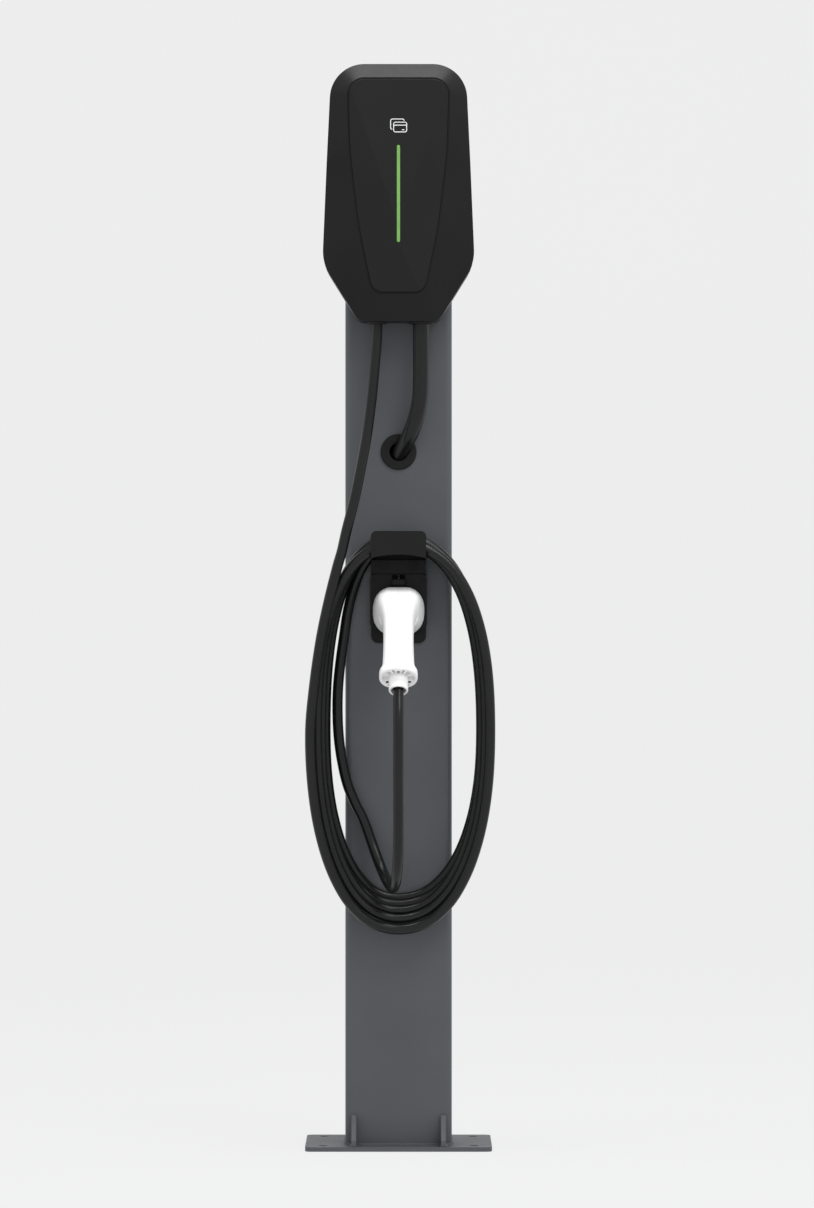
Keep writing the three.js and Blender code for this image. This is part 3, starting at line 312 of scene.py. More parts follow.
WHITE = mixed_finish("white_moulding", tone("f1f1f1"), tone("f8f8f8"), 0.36, 0.05, 0.0008, 0.00001)
NOSE = mixed_finish("nose_moulding", tone("131314"), tone("18181a"), 0.4, 0.03, 0.0006, 0.00002, shine=0.3)
BRASS = mixed_finish("contact_brass", tone("a8873f"), tone("c9a75c"), 0.25, 0.008, 0.0005, 0.000008,
                     metallic=1.0)
RELAY = mixed_finish("relay_case", tone("1a1c20"), tone("22252a"), 0.4, 0.03, 0.0006, 0.00002)
GREEN_BLOCK = mixed_finish("terminal_green", tone("1f6a3c"), tone("27784a"), 0.45, 0.02, 0.0006, 0.00002)
print("plain finishes:", len(bpy.data.materials))

# %% [markdown]
# ## The charging cable
# The cable leaves the box's underside, drops down the left of the column, and is hung over the hook in
# five turns. Each turn of a hung coil is an egg: the weight pulls the bottom round, and the hook holds the
# top. Every quarter of a turn runs from one resting place to the next, so a loop of a few numbers, one for
# each side of each turn, lays all of it. The last end drops down, swings forward and climbs to the handle.

# %% Where the turns of the cable rest
CABLE = 0.014
LEAD = [
    (-0.0284, -0.085, 1.1052), (-0.0289, -0.0855, 1.085), (-0.0308, -0.0865, 1.0615),
    (-0.0332, -0.088, 1.033), (-0.036, -0.09, 1.0046), (-0.0419, -0.094, 0.9599),
    (-0.0497, -0.098, 0.9157), (-0.0586, -0.102, 0.8716), (-0.0697, -0.1065, 0.8275),
    (-0.0756, -0.1085, 0.801), (-0.0802, -0.1095, 0.7855), (-0.0932, -0.111, 0.734),
    (-0.1036, -0.1115, 0.6833), (-0.113, -0.111, 0.6166),
]
TAIL = [
    (-0.048, -0.062, 0.782), (-0.0555, -0.062, 0.766), (-0.0625, -0.062, 0.745),
    (-0.0685, -0.0625, 0.7187), (-0.073, -0.063, 0.688), (-0.078, -0.0635, 0.652),
    (-0.0813, -0.064, 0.616), (-0.0816, -0.0645, 0.578), (-0.0798, -0.065, 0.5498),
    (-0.0758, -0.065, 0.5218), (-0.0685, -0.0655, 0.49), (-0.058, -0.066, 0.464),
    (-0.0475, -0.067, 0.443), (-0.033, -0.072, 0.404), (-0.0225, -0.087, 0.377),
    (-0.014, -0.111, 0.3605), (-0.0085, -0.138, 0.355), (-0.0045, -0.165, 0.3605),
    (-0.002, -0.188, 0.3765), (-0.0005, -0.203, 0.402), (0, -0.2085, 0.432),
    (0, -0.2115, 0.47), (0, -0.213, 0.51), (0, -0.2135, 0.545), (0, -0.2115, 0.572),
    (0, -0.2065, 0.593),
]
COIL_MIDDLE = 0.560
# Each row is one turn: (left, bottom, right, top), as the distance across or the height, and the depth.
TURNS = [
    [(-0.1176, -0.111), (0.298, -0.110), (0.122, -0.111), (0.8105, -0.106)],
    [(-0.109, -0.098), (0.311, -0.098), (0.1165, -0.098), (0.8186, -0.095)],
    [(-0.1035, -0.085), (0.321, -0.086), (0.111, -0.085), (0.8105, -0.084)],
    [(-0.109, -0.072), (0.329, -0.074), (0.1163, -0.072), (0.8186, -0.073)],
    [(-0.098, -0.060), (0.337, -0.062), (0.1108, -0.0595), (0.8105, -0.062)],
]


def coil_points(turns, upper=2.4, lower=2.2, per_quarter=6):
    """Points of a hung coil, quarter by quarter, from the left of the first turn to the last top."""
    rests = [rest for turn in turns for rest in turn]
    points = []
    for i, ((a, a_depth), (b, b_depth)) in enumerate(zip(rests, rests[1:])):
        fullness = lower if i % 4 < 2 else upper
        across, height = (a, b) if i % 2 == 0 else (b, a)
        for k in range(per_quarter):
            share = k / per_quarter
            angle = math.pi / 2 * (share if i % 2 == 0 else 1 - share)
            x = across * math.cos(angle) ** (2 / fullness)
            z = COIL_MIDDLE + (height - COIL_MIDDLE) * math.sin(angle) ** (2 / fullness)
            points.append((x, a_depth + (b_depth - a_depth) * share, z))
    points.append((0, rests[-1][1], rests[-1][0]))
    return points


# %% [markdown]
# The handle's place comes from the measured parts: the socket is on the nose's middle line, and the handle
# leaves it in a bend of 60 mm radius, 56 degrees down. The cable ends inside the handle's collar.

# %% The handle's middle line
nose_low, nose_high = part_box("connector_nose")
SOCKET_HEIGHT = (nose_low.z + nose_high.z) / 2
HOOD_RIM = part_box("connector_shell_left")[1].y
BEND_START = -0.092
BEND = 0.060
DROOP = math.radians(56)
GRIP_LENGTH = 0.063
CAP_LENGTH = 0.0127
COLLAR_LENGTH = 0.0193


def grip_place(angle, beyond=0.0):
    """A point on the handle's middle line: round the bend by an angle, then straight on."""
    y = BEND_START - BEND * math.sin(angle) - beyond * math.cos(angle)
    z = SOCKET_HEIGHT - BEND * (1 - math.cos(angle)) - beyond * math.sin(angle)
    return Vector((0, y, z))


def past_grip(beyond, x=0.0, v=0.0):
    """A point past the handle's end, x to the side and v across, towards the front."""
    place = grip_place(DROOP, GRIP_LENGTH + beyond)
    return place + Vector((x, -v * math.sin(DROOP), v * math.cos(DROOP)))


collar_end = past_grip(CAP_LENGTH + COLLAR_LENGTH)
print("collar ends at", [round(c / MM, 1) for c in collar_end])

# %% [markdown]
# Now the whole cable is one line and one tube. Two more points lay it off the hook in an even curve, where
# the last turn becomes the tail. It crosses from the post to the connector, which pulls out of its holster,
# so it is given no body to ride on.

# %% The cable itself
OFF_THE_HOOK = [(-0.0187, -0.062, 0.8072), (-0.0352, -0.062, 0.7977)]
RING_SPACING = 0.0065
route = LEAD + coil_points(TURNS) + OFF_THE_HOOK + TAIL + [collar_end, past_grip(CAP_LENGTH + 0.004)]
cable_line = smooth_line(route, RING_SPACING)
charging_cable = new_shape("charging_cable", tube(cable_line, CABLE / 2, 18))
settle(charging_cable, None, JACKET,
       ["charging_cable_lead", "charging_cable_coil", "charging_cable_tail"])
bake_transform(charging_cable)

# %% [markdown]
# ## The supply cable
# A thicker cable feeds the box. It leaves the underside, bends through the rubber grommet into the hollow
# column, and goes down to the opening in the foot plate. It is fixed at both ends.

# %% The supply cable
SUPPLY = 0.0215
SUPPLY_ROUTE = [
    (0.03, -0.085, 1.1052), (0.03, -0.0855, 1.06), (0.0299, -0.087, 1.027), (0.0286, -0.0883, 1.004),
    (0.025, -0.0872, 0.986), (0.0195, -0.0815, 0.968), (0.0135, -0.0725, 0.9545),
    (0.0075, -0.0615, 0.9445), (0.002, -0.0505, 0.935), (-0.0025, -0.039, 0.9255),
    (-0.0055, -0.0265, 0.912), (-0.007, -0.013, 0.893), (-0.0075, 0, 0.868), (-0.008, 0.012, 0.835),
    (-0.0085, 0.02, 0.795), (-0.009, 0.025, 0.73), (-0.01, 0.027, 0.6), (-0.012, 0.028, 0.4),
    (-0.014, 0.028, 0.2), (-0.015, 0.028, 0.06), (-0.015, 0.028, 0.0005),
]
supply_line = smooth_line(SUPPLY_ROUTE, 0.008)
supply_cable = new_shape("supply_feed", tube(supply_line, SUPPLY / 2, 24))
settle(supply_cable, "post", JACKET, ["supply_cable"])

# %% [markdown]
# ## Outlines with rounded corners
# The box and its panel are both drawn as a flat outline whose corners have their own radii. Drawing the
# corners first and rounding them in code means that one outline can be moved inwards by any distance and
# still fit, so the wall, the rim and the recess all come from the same few numbers.

# %% Outlines
def cross(a, b):
    return a.x * b.y - a.y * b.x


def outline(corners, inset=0.0):
    """Points of an outline of (x, z, radius, steps) corners, anticlockwise, moved inwards by inset."""
    count = len(corners)
    at = [Vector(corner[:2]) for corner in corners]
    sides = []
    for i, p in enumerate(at):
        along = (at[(i + 1) % count] - p).normalized()
        inward = Vector((-along.y, along.x))
        sides.append((along, inward, p + inward * inset))
    points = []
    for i, (_, _, radius, steps) in enumerate(corners):
        before, after = sides[i - 1], sides[i]
        share = cross(after[2] - before[2], after[0]) / cross(before[0], after[0])
        corner = before[2] + before[0] * share
        turn = math.atan2(cross(before[0], after[0]), before[0].dot(after[0]))
        radius = max(radius - inset, 0.5 * MM)
        start = corner - before[0] * radius * math.tan(turn / 2)
        centre = start + before[1] * radius
        for k in range(steps + 1):
            arm = start - centre
            arm.rotate(Matrix.Rotation(turn * k / steps, 2))
            points.append(centre + arm)
    return points


def mirrored(half):
    """A whole outline from its right half, listed from the bottom to the top."""
    return half + [(-x, z, radius, steps) for x, z, radius, steps in reversed(half)]


def ring_at(points, y):
    return [Vector((p.x, y, p.y)) for p in points]


def loft(rings, capped=True):
    """A body through rings of equal numbers of points."""
    vertices = [p for ring in rings for p in ring]
    return vertices, joined_rings(len(rings), len(rings[0]), capped)


# %% [markdown]
# ## The wall box
# The front cover is a shallow tray of moulded plastic. Its short skirt meets the rear half, then a broad
# bevel rises to a narrow land around a recess, where the panel sits. A cube could be cut to shape, but
# lofting one outline into the other gives the bevel its changing slope for free.

# %% The front cover
cover_low, cover_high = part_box("front_cover")
BOX_BOTTOM = cover_low.z
BOX_HEIGHT = cover_high.z - cover_low.z
BOX_WALL = 0.003
COVER_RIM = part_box("rear_housing")[0].y - 0.3 * MM
COVER_FRONT = cover_low.y
SKIRT = 0.004
BOX_CORNERS = mirrored([
    (0.0535, BOX_BOTTOM, 0.014, 8),
    (0.1013, BOX_BOTTOM + 0.225 * BOX_HEIGHT, 0.060, 12),
    (0.0956, BOX_BOTTOM + 0.617 * BOX_HEIGHT, 0.400, 6),
    (0.0893, BOX_BOTTOM + BOX_HEIGHT, 0.046, 18),
])
PANEL_BOTTOM = BOX_BOTTOM + 0.037
PANEL_TOP = BOX_BOTTOM + BOX_HEIGHT - 0.022
PANEL_CORNERS = mirrored([
    (0.0345, PANEL_BOTTOM, 0.017, 8),
    (0.053, BOX_BOTTOM + 0.125, 0.600, 12),
    (0.0645, BOX_BOTTOM + 0.225, 0.600, 6),
    (0.067, PANEL_TOP, 0.021, 18),
])
LAND = 0.0025
PANEL_FLOOR = COVER_FRONT + 0.002
print("box height in mm:", round(BOX_HEIGHT / MM, 1))

# %% [markdown]
# The cover is lofted ring by ring, from the inside of its floor out to its skirt and back over the bevel to
# the recess. The light needs a slot with round ends through it, which a Boolean cuts in one go.

# %% The cover, lofted
def stadium(half_width, low, high, front, back, steps=10):
    """A slot with round ends, upright, from front to back."""
    points = []
    for end, middle in ((0, high - half_width), (math.pi, low + half_width)):
        for k in range(steps + 1):
            angle = end + math.pi * k / steps
            points.append(Vector((half_width * math.cos(angle), middle + half_width * math.sin(angle))))
    return loft([ring_at(points, back), ring_at(points, front)])


light_low, light_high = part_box("light_bar")
LIGHT_HALF = light_high.x
inside_floor = PANEL_FLOOR + BOX_WALL
cover = new_shape("front_cover_shell", loft([
    ring_at(outline(PANEL_CORNERS, BOX_WALL - LAND), inside_floor),
    ring_at(outline(BOX_CORNERS, BOX_WALL), COVER_RIM - SKIRT + 0.001),
    ring_at(outline(BOX_CORNERS, BOX_WALL), COVER_RIM),
    ring_at(outline(BOX_CORNERS), COVER_RIM),
    ring_at(outline(BOX_CORNERS), COVER_RIM - SKIRT),
    ring_at(outline(PANEL_CORNERS, -LAND), COVER_FRONT),
    ring_at(outline(PANEL_CORNERS), COVER_FRONT),
    ring_at(outline(PANEL_CORNERS), PANEL_FLOOR),
]))
SLOT_ROOM = 0.0006
slot_tool = new_shape("slot_tool", stadium(LIGHT_HALF + SLOT_ROOM, light_low.z - SLOT_ROOM,
                                           light_high.z + SLOT_ROOM, COVER_FRONT - 0.02, COVER_RIM))
combine(cover, slot_tool, "DIFFERENCE")
round_edges(cover, 0.0009, segments=3, angle=20)
settle(cover, "post", HOUSING, ["front_cover"])

# %% [markdown]
# The panel is a satin slab with four flat facets that meet at a peak by the foot of the light. On the real
# one each facet catches the light differently, so the creases have to stay crisp. Cutting a block with four
# planes gives exact facets, where a subdivided surface would only suggest them.

# %% The faceted panel
panel_low, panel_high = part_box("front_panel")
PANEL_BACK = panel_high.y
PEAK = panel_low.y
PEAK_HEIGHT = 1.235
CORNER_SIDE, CORNER_HEIGHT = 0.062, 1.410
FOOT_SIDE, FOOT_HEIGHT = 0.028, PANEL_BOTTOM + 0.005
CORNER_DEPTH = PEAK + 0.0082
FOOT_DEPTH = PEAK + 0.0085
top_corners = [Vector((side * CORNER_SIDE, CORNER_DEPTH, CORNER_HEIGHT)) for side in (-1, 1)]
foot_corners = [Vector((side * FOOT_SIDE, FOOT_DEPTH, FOOT_HEIGHT)) for side in (-1, 1)]
peak = Vector((0, PEAK, PEAK_HEIGHT))
ridge_foot = Vector((0, PEAK + 0.0007, light_low.z))


def keep_behind(shape, a, b, c):
    """Cuts away what lies in front of the plane through three points, and closes the cut."""
    normal = (b - a).cross(c - a).normalized()
    if normal.y > 0:
        normal.negate()
    everything = [*shape.verts, *shape.edges, *shape.faces]
    cut = bmesh.ops.bisect_plane(shape, geom=everything, plane_co=a, plane_no=normal, clear_outer=True)
    rim = [part for part in cut["geom_cut"] if isinstance(part, bmesh.types.BMEdge)]
    bmesh.ops.contextual_create(shape, geom=rim)


PANEL_ROOM = 0.0005
panel_edge = outline(PANEL_CORNERS, PANEL_ROOM)
panel = new_shape("front_panel_faceted", loft([
    ring_at(panel_edge, PANEL_BACK),
    ring_at(panel_edge, PEAK - 0.005),
]))
facets = bmesh.new()
facets.from_mesh(panel.data)
keep_behind(facets, *top_corners, peak)
for top, foot in zip(top_corners, foot_corners):
    keep_behind(facets, top, peak, foot)
keep_behind(facets, *foot_corners, ridge_foot)
facets.to_mesh(panel.data)
facets.free()
BAR_ROOM = 0.0003
bar_tool = new_shape("bar_tool", stadium(LIGHT_HALF + BAR_ROOM, light_low.z - BAR_ROOM,
                                         light_high.z + BAR_ROOM, PEAK - 0.02, PANEL_BACK + 0.01))
combine(panel, bar_tool, "DIFFERENCE")
shade(panel.data, angle=2.5)
round_edges(panel, 0.0007, segments=3, angle=40)
settle(panel, "post", PANEL, ["front_panel"])

# %% [markdown]
# The light is a translucent bar with a lamp behind it. It glows a little, more in its middle than near its
# ends, because the lamps stop short of the ends. The glow follows the bar's height.

# %% The light
END_FADE = 0.12
END_BRIGHTNESS = 0.55
GLOW = 0.25


def glowing_finish(name, colour, low, high):
    made = mixed_finish(name, [0.8 * c for c in colour], colour, 0.35, 0.02, 0.0008, 0.00001)
    nodes, links = made.node_tree.nodes, made.node_tree.links
    shader = nodes["Principled BSDF"]
    place = nodes.new("ShaderNodeTexCoord")
    split = nodes.new("ShaderNodeSeparateXYZ")
    links.new(place.outputs["Object"], split.inputs["Vector"])
    share = nodes.new("ShaderNodeMapRange")
    share.inputs["From Min"].default_value = low
    share.inputs["From Max"].default_value = high
    links.new(split.outputs["Z"], share.inputs["Value"])
    ramp = nodes.new("ShaderNodeValToRGB")
    for end in ramp.color_ramp.elements:
        end.color = (*[END_BRIGHTNESS * c for c in colour], 1)
    for position in (END_FADE, 1 - END_FADE):
        ramp.color_ramp.elements.new(position).color = (*colour, 1)
    links.new(share.outputs["Result"], ramp.inputs["Fac"])
    links.new(ramp.outputs["Color"], shader.inputs["Emission Color"])
    shader.inputs["Emission Strength"].default_value = GLOW
    return made


LIGHT_GREEN = glowing_finish("green_light", tone("6a9c4d"), light_low.z, light_high.z)
print("light bar in mm:", [round(v / MM, 1) for v in light_high - light_low])

# %% [markdown]
# Above the light a small sign of two cards shows where a card is held to start a charge. It is a printed
# mark, so it is a very thin raised line laid on the facet: a flat band along each card's outline.

# %% The card sign
LINE = 0.0011
INK = 0.00012
INK_SUNK = 0.0003
facet_slope = (CORNER_DEPTH - PEAK) / (CORNER_HEIGHT - PEAK_HEIGHT)


def facet_depth(z):
    return PEAK + facet_slope * (z - PEAK_HEIGHT)


def printed_band(points, width, closed=False):
    """A flat raised band along points (x, z) on the panel's upper facet."""
    count = len(points)
    at = [Vector(p) for p in points]
    vertices = []
    for i, p in enumerate(at):
        before = at[i - 1] if closed or i else p
        after = at[(i + 1) % count] if closed or i + 1 < count else p
        along = (after - before).normalized()
        offset = Vector((-along.y, along.x)) * width / 2
        for q in (p + offset, p - offset):
            for lift in (INK_SUNK, -INK):
                vertices.append(Vector((q.x, facet_depth(q.y) + lift, q.y)))
    faces = []
    for i in range(count if closed else count - 1):
        a, b = 4 * i, 4 * ((i + 1) % count)
        for j, k in ((0, 1), (1, 3), (3, 2), (2, 0)):
            faces.append((a + j, a + k, b + k, b + j))
    if not closed:
        last = 4 * (count - 1)
        faces += [(0, 1, 3, 2), (last, last + 2, last + 3, last + 1)]
    return vertices, faces


def card(x0, x1, z0, z1, radius=0.0024):
    corners = [(x1, z0), (x1, z1), (x0, z1), (x0, z0)]
    return [tuple(p) for p in outline([(x, z, radius, 5) for x, z in corners])]


front_card = card(-0.0064, 0.0109, 1.3572, 1.3702)
back_card = card(-0.0104, 0.0074, 1.3606, 1.3744)
behind_it = [(0.0074, 1.3722)] + back_card[6:18] + [back_card[18]]
behind_it += [p for p in back_card[19:] if p[0] < -0.0085] + [(-0.0083, 1.3606)]
card_sign = new_shape("card_sign", together(
    printed_band(front_card, LINE, closed=True),
    printed_band([(-0.0058, 1.3662), (0.0103, 1.3662)], LINE),
    printed_band([(0.0045, 1.3601), (0.0078, 1.3601)], LINE),
    printed_band(behind_it, LINE),
))
INK_WHITE = mixed_finish("printed_white", tone("d9dadb"), tone("e4e5e6"), 0.5, 0.004, 0.0005, 0.000004)
settle(card_sign, "post", INK_WHITE)

# %% [markdown]
# ## The grommet
# Where the supply cable enters the column a rubber ring covers the cut edge. It is a turned shape: a thick
# outer lip, a groove for the sheet, and a round bore, which is widened along the slanting cable.

# %% Turned shapes
def turned(profile, origin, axis, steps=64):
    """A ring-shaped body: a closed profile of (radius, distance) turned about an axis."""
    axis = Vector(axis).normalized()
    side = axis.orthogonal().normalized()
    up = axis.cross(side)
    vertices, faces = [], []
    for k in range(steps):
        angle = 2 * math.pi * k / steps
        arm = side * math.cos(angle) + up * math.sin(angle)
        vertices += [Vector(origin) + arm * r + axis * s for r, s in profile]
    count = len(profile)
    for k in range(steps):
        a, b = k * count, (k + 1) % steps * count
        for i in range(count):
            j = (i + 1) % count
            faces.append((a + i, a + j, b + j, b + i))
    return vertices, faces


def arc(middle_r, middle_s, radius, start, end, steps=6):
    """Points of a quarter or half round for a turned profile, angles in degrees."""
    points = []
    for k in range(steps + 1):
        angle = math.radians(start + (end - start) * k / steps)
        points.append((middle_r + radius * math.cos(angle), middle_s + radius * math.sin(angle)))
    return points


grommet_low, grommet_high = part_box("cable_grommet")
GROMMET_HEIGHT = (grommet_low.z + grommet_high.z) / 2
GROMMET_RADIUS = grommet_high.x
grommet_depth = grommet_high.y - grommet_low.y
GROMMET_BORE = 0.0118
NECK = 0.0194
sheet_front = 0.004
lip_front = grommet_depth - 0.003
profile = arc(GROMMET_BORE + 0.0015, 0.0015, 0.0015, 180, 270)
profile += arc(GROMMET_RADIUS - 0.0022, 0.0022, 0.0022, 270, 360)
profile += [(GROMMET_RADIUS, sheet_front), (NECK, sheet_front), (NECK, lip_front)]
profile += [(0.022, lip_front), (0.0215, grommet_depth), (GROMMET_BORE, grommet_depth)]
grommet = new_shape("cable_grommet_ring", turned(profile, (0, grommet_low.y, GROMMET_HEIGHT), (0, 1, 0)))
bore = new_shape("bore", tube(smooth_line(SUPPLY_ROUTE[4:13], 0.004), SUPPLY / 2 + 0.0008, 32))
combine(grommet, bore, "DIFFERENCE")
settle(grommet, "post", RUBBER, ["cable_grommet"])

# %% [markdown]
# ## Sheet steel and weld beads
# The column, the foot plate and the four gussets are cut and folded steel. Their measured shapes are right,
# so they stay, and rounded edges and a powder coat finish them. A welder joins them with small beads, which
# the measured model leaves out. A bead is a tube sunk halfway into the corner, with the ripples that
# each pause of the torch leaves.

# %% Weld beads
BEAD = 0.0021
BEAD_SWELL = 0.09
BEAD_END = 0.45
COLUMN_BEND = 0.008


def weld(points, radius, ripple=0.0022):
    """A rippled bead along a line."""
    spacing = ripple / 4
    if len(points) > 2:
        line = smooth_line(points, spacing)
    else:
        line = np.linspace(*points, 2 + int(math.dist(*points) / spacing))
    waves = np.arange(len(line)) * math.pi / 2
    swell = radius * (1 + BEAD_SWELL * np.sin(waves))
    swell[0] = swell[-1] = radius * BEAD_END
    return tube(line, swell, 8)


column_low, column_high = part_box("column_shell")
PLATE_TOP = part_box("base_plate")[1].z
beads = []
for side in (-1, 1):
    face = column_low.y if side < 0 else column_high.y
    for name in ("left", "right"):
        low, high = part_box(f"rib_{'front' if side < 0 else 'rear'}_{name}")
        toe = low.y if side < 0 else high.y
        for x in (low.x, high.x):
            beads.append(weld([(x, face, PLATE_TOP + 0.002), (x, face, high.z - 0.001)], BEAD))
            beads.append(weld([(x, face, PLATE_TOP), (x, toe - side * 0.002, PLATE_TOP)], BEAD))
for x in (column_low.x, column_high.x):
    beads.append(weld([(x, column_low.y + 0.006, PLATE_TOP), (x, column_high.y - 0.006, PLATE_TOP)], BEAD))
for y in (column_low.y, column_high.y):
    beads.append(weld([(column_low.x + 0.006, y, PLATE_TOP), (column_high.x - 0.006, y, PLATE_TOP)], BEAD))
for sx in (-1, 1):
    for sy in (-1, 1):
        centre = (sx * (column_high.x - COLUMN_BEND), sy * (column_high.y - COLUMN_BEND))
        turn = [math.radians(a) for a in range(0, 91, 15)]
        points = [(centre[0] + sx * COLUMN_BEND * math.cos(a), centre[1] + sy * COLUMN_BEND * math.sin(a),
                   PLATE_TOP) for a in turn]
        beads.append(weld(points, BEAD))
welds = new_shape("foot_welds", together(*beads), angle=60)
settle(welds, "post", POWDER)

# %% [markdown]
# ## Dressing the measured parts
# Most of the measured parts already have the right shape. They keep it, and each gets its finish, smooth
# shading between real edges, and a small radius that suits how it is made: sheet steel has the smallest,
# moulded plastic a larger one.

# %% Parts that stay as measured
def dress(names, finish, rounding=0.0003, angle=32):
    for name in names.split():
        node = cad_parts[name]
        node.data.materials.clear()
        node.data.materials.append(finish)
        shade(node.data, angle)
        if rounding:
            round_edges(node, rounding, merge_flats=True)


def numbered(stem, count):
    return " ".join(f"{stem}_{i + 1}" for i in range(count))


dress("base_plate column_shell rib_front_left rib_front_right rib_rear_left rib_rear_right", POWDER, 0.0005)
dress("column_top_cap", HOUSING, 0.0008)
dress("rear_housing", HOUSING, 0.0007)
dress("housing_gasket lead_exit_sleeve supply_exit_sleeve nose_seal", RUBBER, 0.0003)
dress("lead_exit_nut supply_exit_nut", HOUSING, 0.0004)
dress("wallbox_bracket bracket_screw_lower bracket_screw_upper latch_pin", ZINC, 0)
dress(numbered("cover_screw", 4) + " " + numbered("end_cap_screw", 3), ZINC, 0.0002)
dress("hook_bracket", BLACK_STEEL, 0.0006)
dress("hook_screw_left hook_screw_right " + numbered("holster_screw", 4), BLACK_STEEL, 0.0003)
dress("holster_housing latch_tongue", HOUSING, 0.0005)
dress("light_bar", LIGHT_GREEN, 0.0003)
dress("power_relay current_sensor", RELAY, 0.0005)
dress("terminal_block", GREEN_BLOCK, 0.0003)
CONTACTS = "contact_line contact_neutral contact_earth contact_pilot contact_proximity"
dress(CONTACTS, BRASS, 0.0005)
dress("connector_nose", NOSE, 0.0004)
print("dressed parts:", len(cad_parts))

# %% [markdown]
# A small wire spring pushes the latch's tongue down. As the tongue tilts up, the spring gets shorter, which a
# stiff part can't do. It is a wire of its own with a closer turn at each end, built at its full height; on
# the real latch it flattens towards its upper seat, to 86 hundredths of its height when the tongue is fully
# up.

# %% Latch spring
spring_low, spring_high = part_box("latch_spring")
SPRING_WIRE = 0.00035
SPRING_TURNS = 4.5
CLOSE_PITCH = 0.00085


def coil_spring(low, high, wire, turns, per_turn=18):
    middle = (low + high) / 2
    radius = (high.x - low.x) / 2 - wire
    height = high.z - low.z - 2 * wire
    turn = np.linspace(0, turns, round(turns * per_turn) + 1)
    rise = np.interp(turn, [0, 1, turns - 1, turns], [0, CLOSE_PITCH, height - CLOSE_PITCH, height])
    angle = 2 * math.pi * turn
    line = np.stack([middle.x + radius * np.cos(angle), middle.y + radius * np.sin(angle),
                     low.z + wire + rise], axis=1)
    return tube(line, wire, 10)


spring = new_shape("latch_spring_coil", coil_spring(spring_low, spring_high, SPRING_WIRE, SPRING_TURNS))
settle(spring, "post", ZINC, ["latch_spring"])
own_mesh(spring)

# %% [markdown]
# The boards inside the box are fibreglass with a green mask over copper tracks. A brick pattern with thin
# joints reads as rows of tracks, and the mask's own slow colour drift shows between them.

# %% Circuit boards
def board_finish(name):
    made = mixed_finish(name, tone("11502f"), tone("185c38"), 0.35, 0.02, 0.0008, 0.00001, coat=0.3)
    nodes, links = made.node_tree.nodes, made.node_tree.links
    shader = nodes["Principled BSDF"]
    mask = shader.inputs["Base Color"].links[0].from_socket
    place = nodes.new("ShaderNodeTexCoord")
    turn = nodes.new("ShaderNodeMapping")
    turn.inputs["Rotation"].default_value = (math.pi / 2, 0, 0)
    links.new(place.outputs["Object"], turn.inputs["Vector"])
    tracks = nodes.new("ShaderNodeTexBrick")
    tracks.inputs["Scale"].default_value = 60
    tracks.inputs["Mortar Size"].default_value = 0.012
    for brick in ("Color1", "Color2"):
        tracks.inputs[brick].default_value = (1, 1, 1, 1)
    tracks.inputs["Mortar"].default_value = (0, 0, 0, 1)
    links.new(turn.outputs["Vector"], tracks.inputs["Vector"])
    mix = nodes.new("ShaderNodeMix")
    mix.data_type = "RGBA"
    links.new(tracks.outputs["Fac"], mix.inputs["Factor"])
    links.new(mask, mix.inputs[6])
    mix.inputs[7].default_value = (*tone("3c8a58"), 1)
    links.new(mix.outputs[2], shader.inputs["Base Color"])
    return made


dress("main_board light_board card_reader_board", board_finish("board_green"), 0.0002)

# %% [markdown]
# ## The connector
# The charging connector is a pistol-shaped moulding in two halves. A round hood with a flat top covers the
# holster's pocket, and the body narrows as it bends down into a handle with a broad, nearly flat front.
# Sculpting would do, but a section that changes along a middle line keeps both halves exact mirror images.
# Each row gives a distance along that line and the section there: half width above and below the middle,
# half height, fullness and flat. Above the middle the width stays longer, which gives the neck its flare.

# %% The connector's sections
BEND_LENGTH = BEND * DROOP
STRAIGHT = HOOD_RIM - BEND_START
HANDLE = STRAIGHT + BEND_LENGTH
GRIP_ROWS = [
    (0, 34.5, 34.5, 33.2, 2.4, 32), (12, 34.5, 34.5, 33.2, 2.4, 32), (24, 34.3, 34.1, 33.2, 2.5, 31.9),
    (34, 33.4, 31.8, 32.2, 2.7, 31.2), (46, 32.2, 28.0, 30.6, 3.0, 29.4), (58, 29.6, 24.6, 28.4, 3.3, 27.7),
    (70, 24.6, 22.2, 26, 3.4, 25.6), (82, 21.2, 20.9, 23.7, 3.3, 23.7), (92.7, 20.3, 20.3, 22.2, 3.2, 22.2),
    (112, 20, 20, 21.4, 3.1, 21.4), (133, 20.4, 20.4, 21.4, 3.0, 21.4), (149, 21.2, 21.2, 21.6, 2.8, 21.6),
    (153.2, 22.2, 22.2, 22.4, 2.5, 22.4), (155.7, 23.5, 23.5, 23.4, 2.3, 23.4),
]
FULLNESS_SCALE = 10 * MM


def grip_at(distance):
    """The middle line's point and its turn, at a distance from the hood's rim."""
    if distance <= STRAIGHT:
        return Vector((0, HOOD_RIM - distance, SOCKET_HEIGHT)), 0.0
    angle = min((distance - STRAIGHT) / BEND, DROOP)
    return grip_place(angle, max(distance - HANDLE, 0.0)), angle


def section(distance, upper, lower, height, fullness, flat, sides=64):
    """A full ellipse with a flat top, square to the middle line, with its own widths above and below."""
    centre, turn = grip_at(distance)
    ring = []
    for k in range(sides):
        angle = 2 * math.pi * (k + 0.5) / sides
        c, s = math.cos(angle), math.sin(angle)
        width = lower + (upper - lower) * (1 + s) / 2
        x = width * math.copysign(abs(c) ** (2 / fullness), c)
        v = min(height * math.copysign(abs(s) ** (2 / fullness), s), flat)
        ring.append(centre + Vector((x, -v * math.sin(turn), v * math.cos(turn))))
    return ring


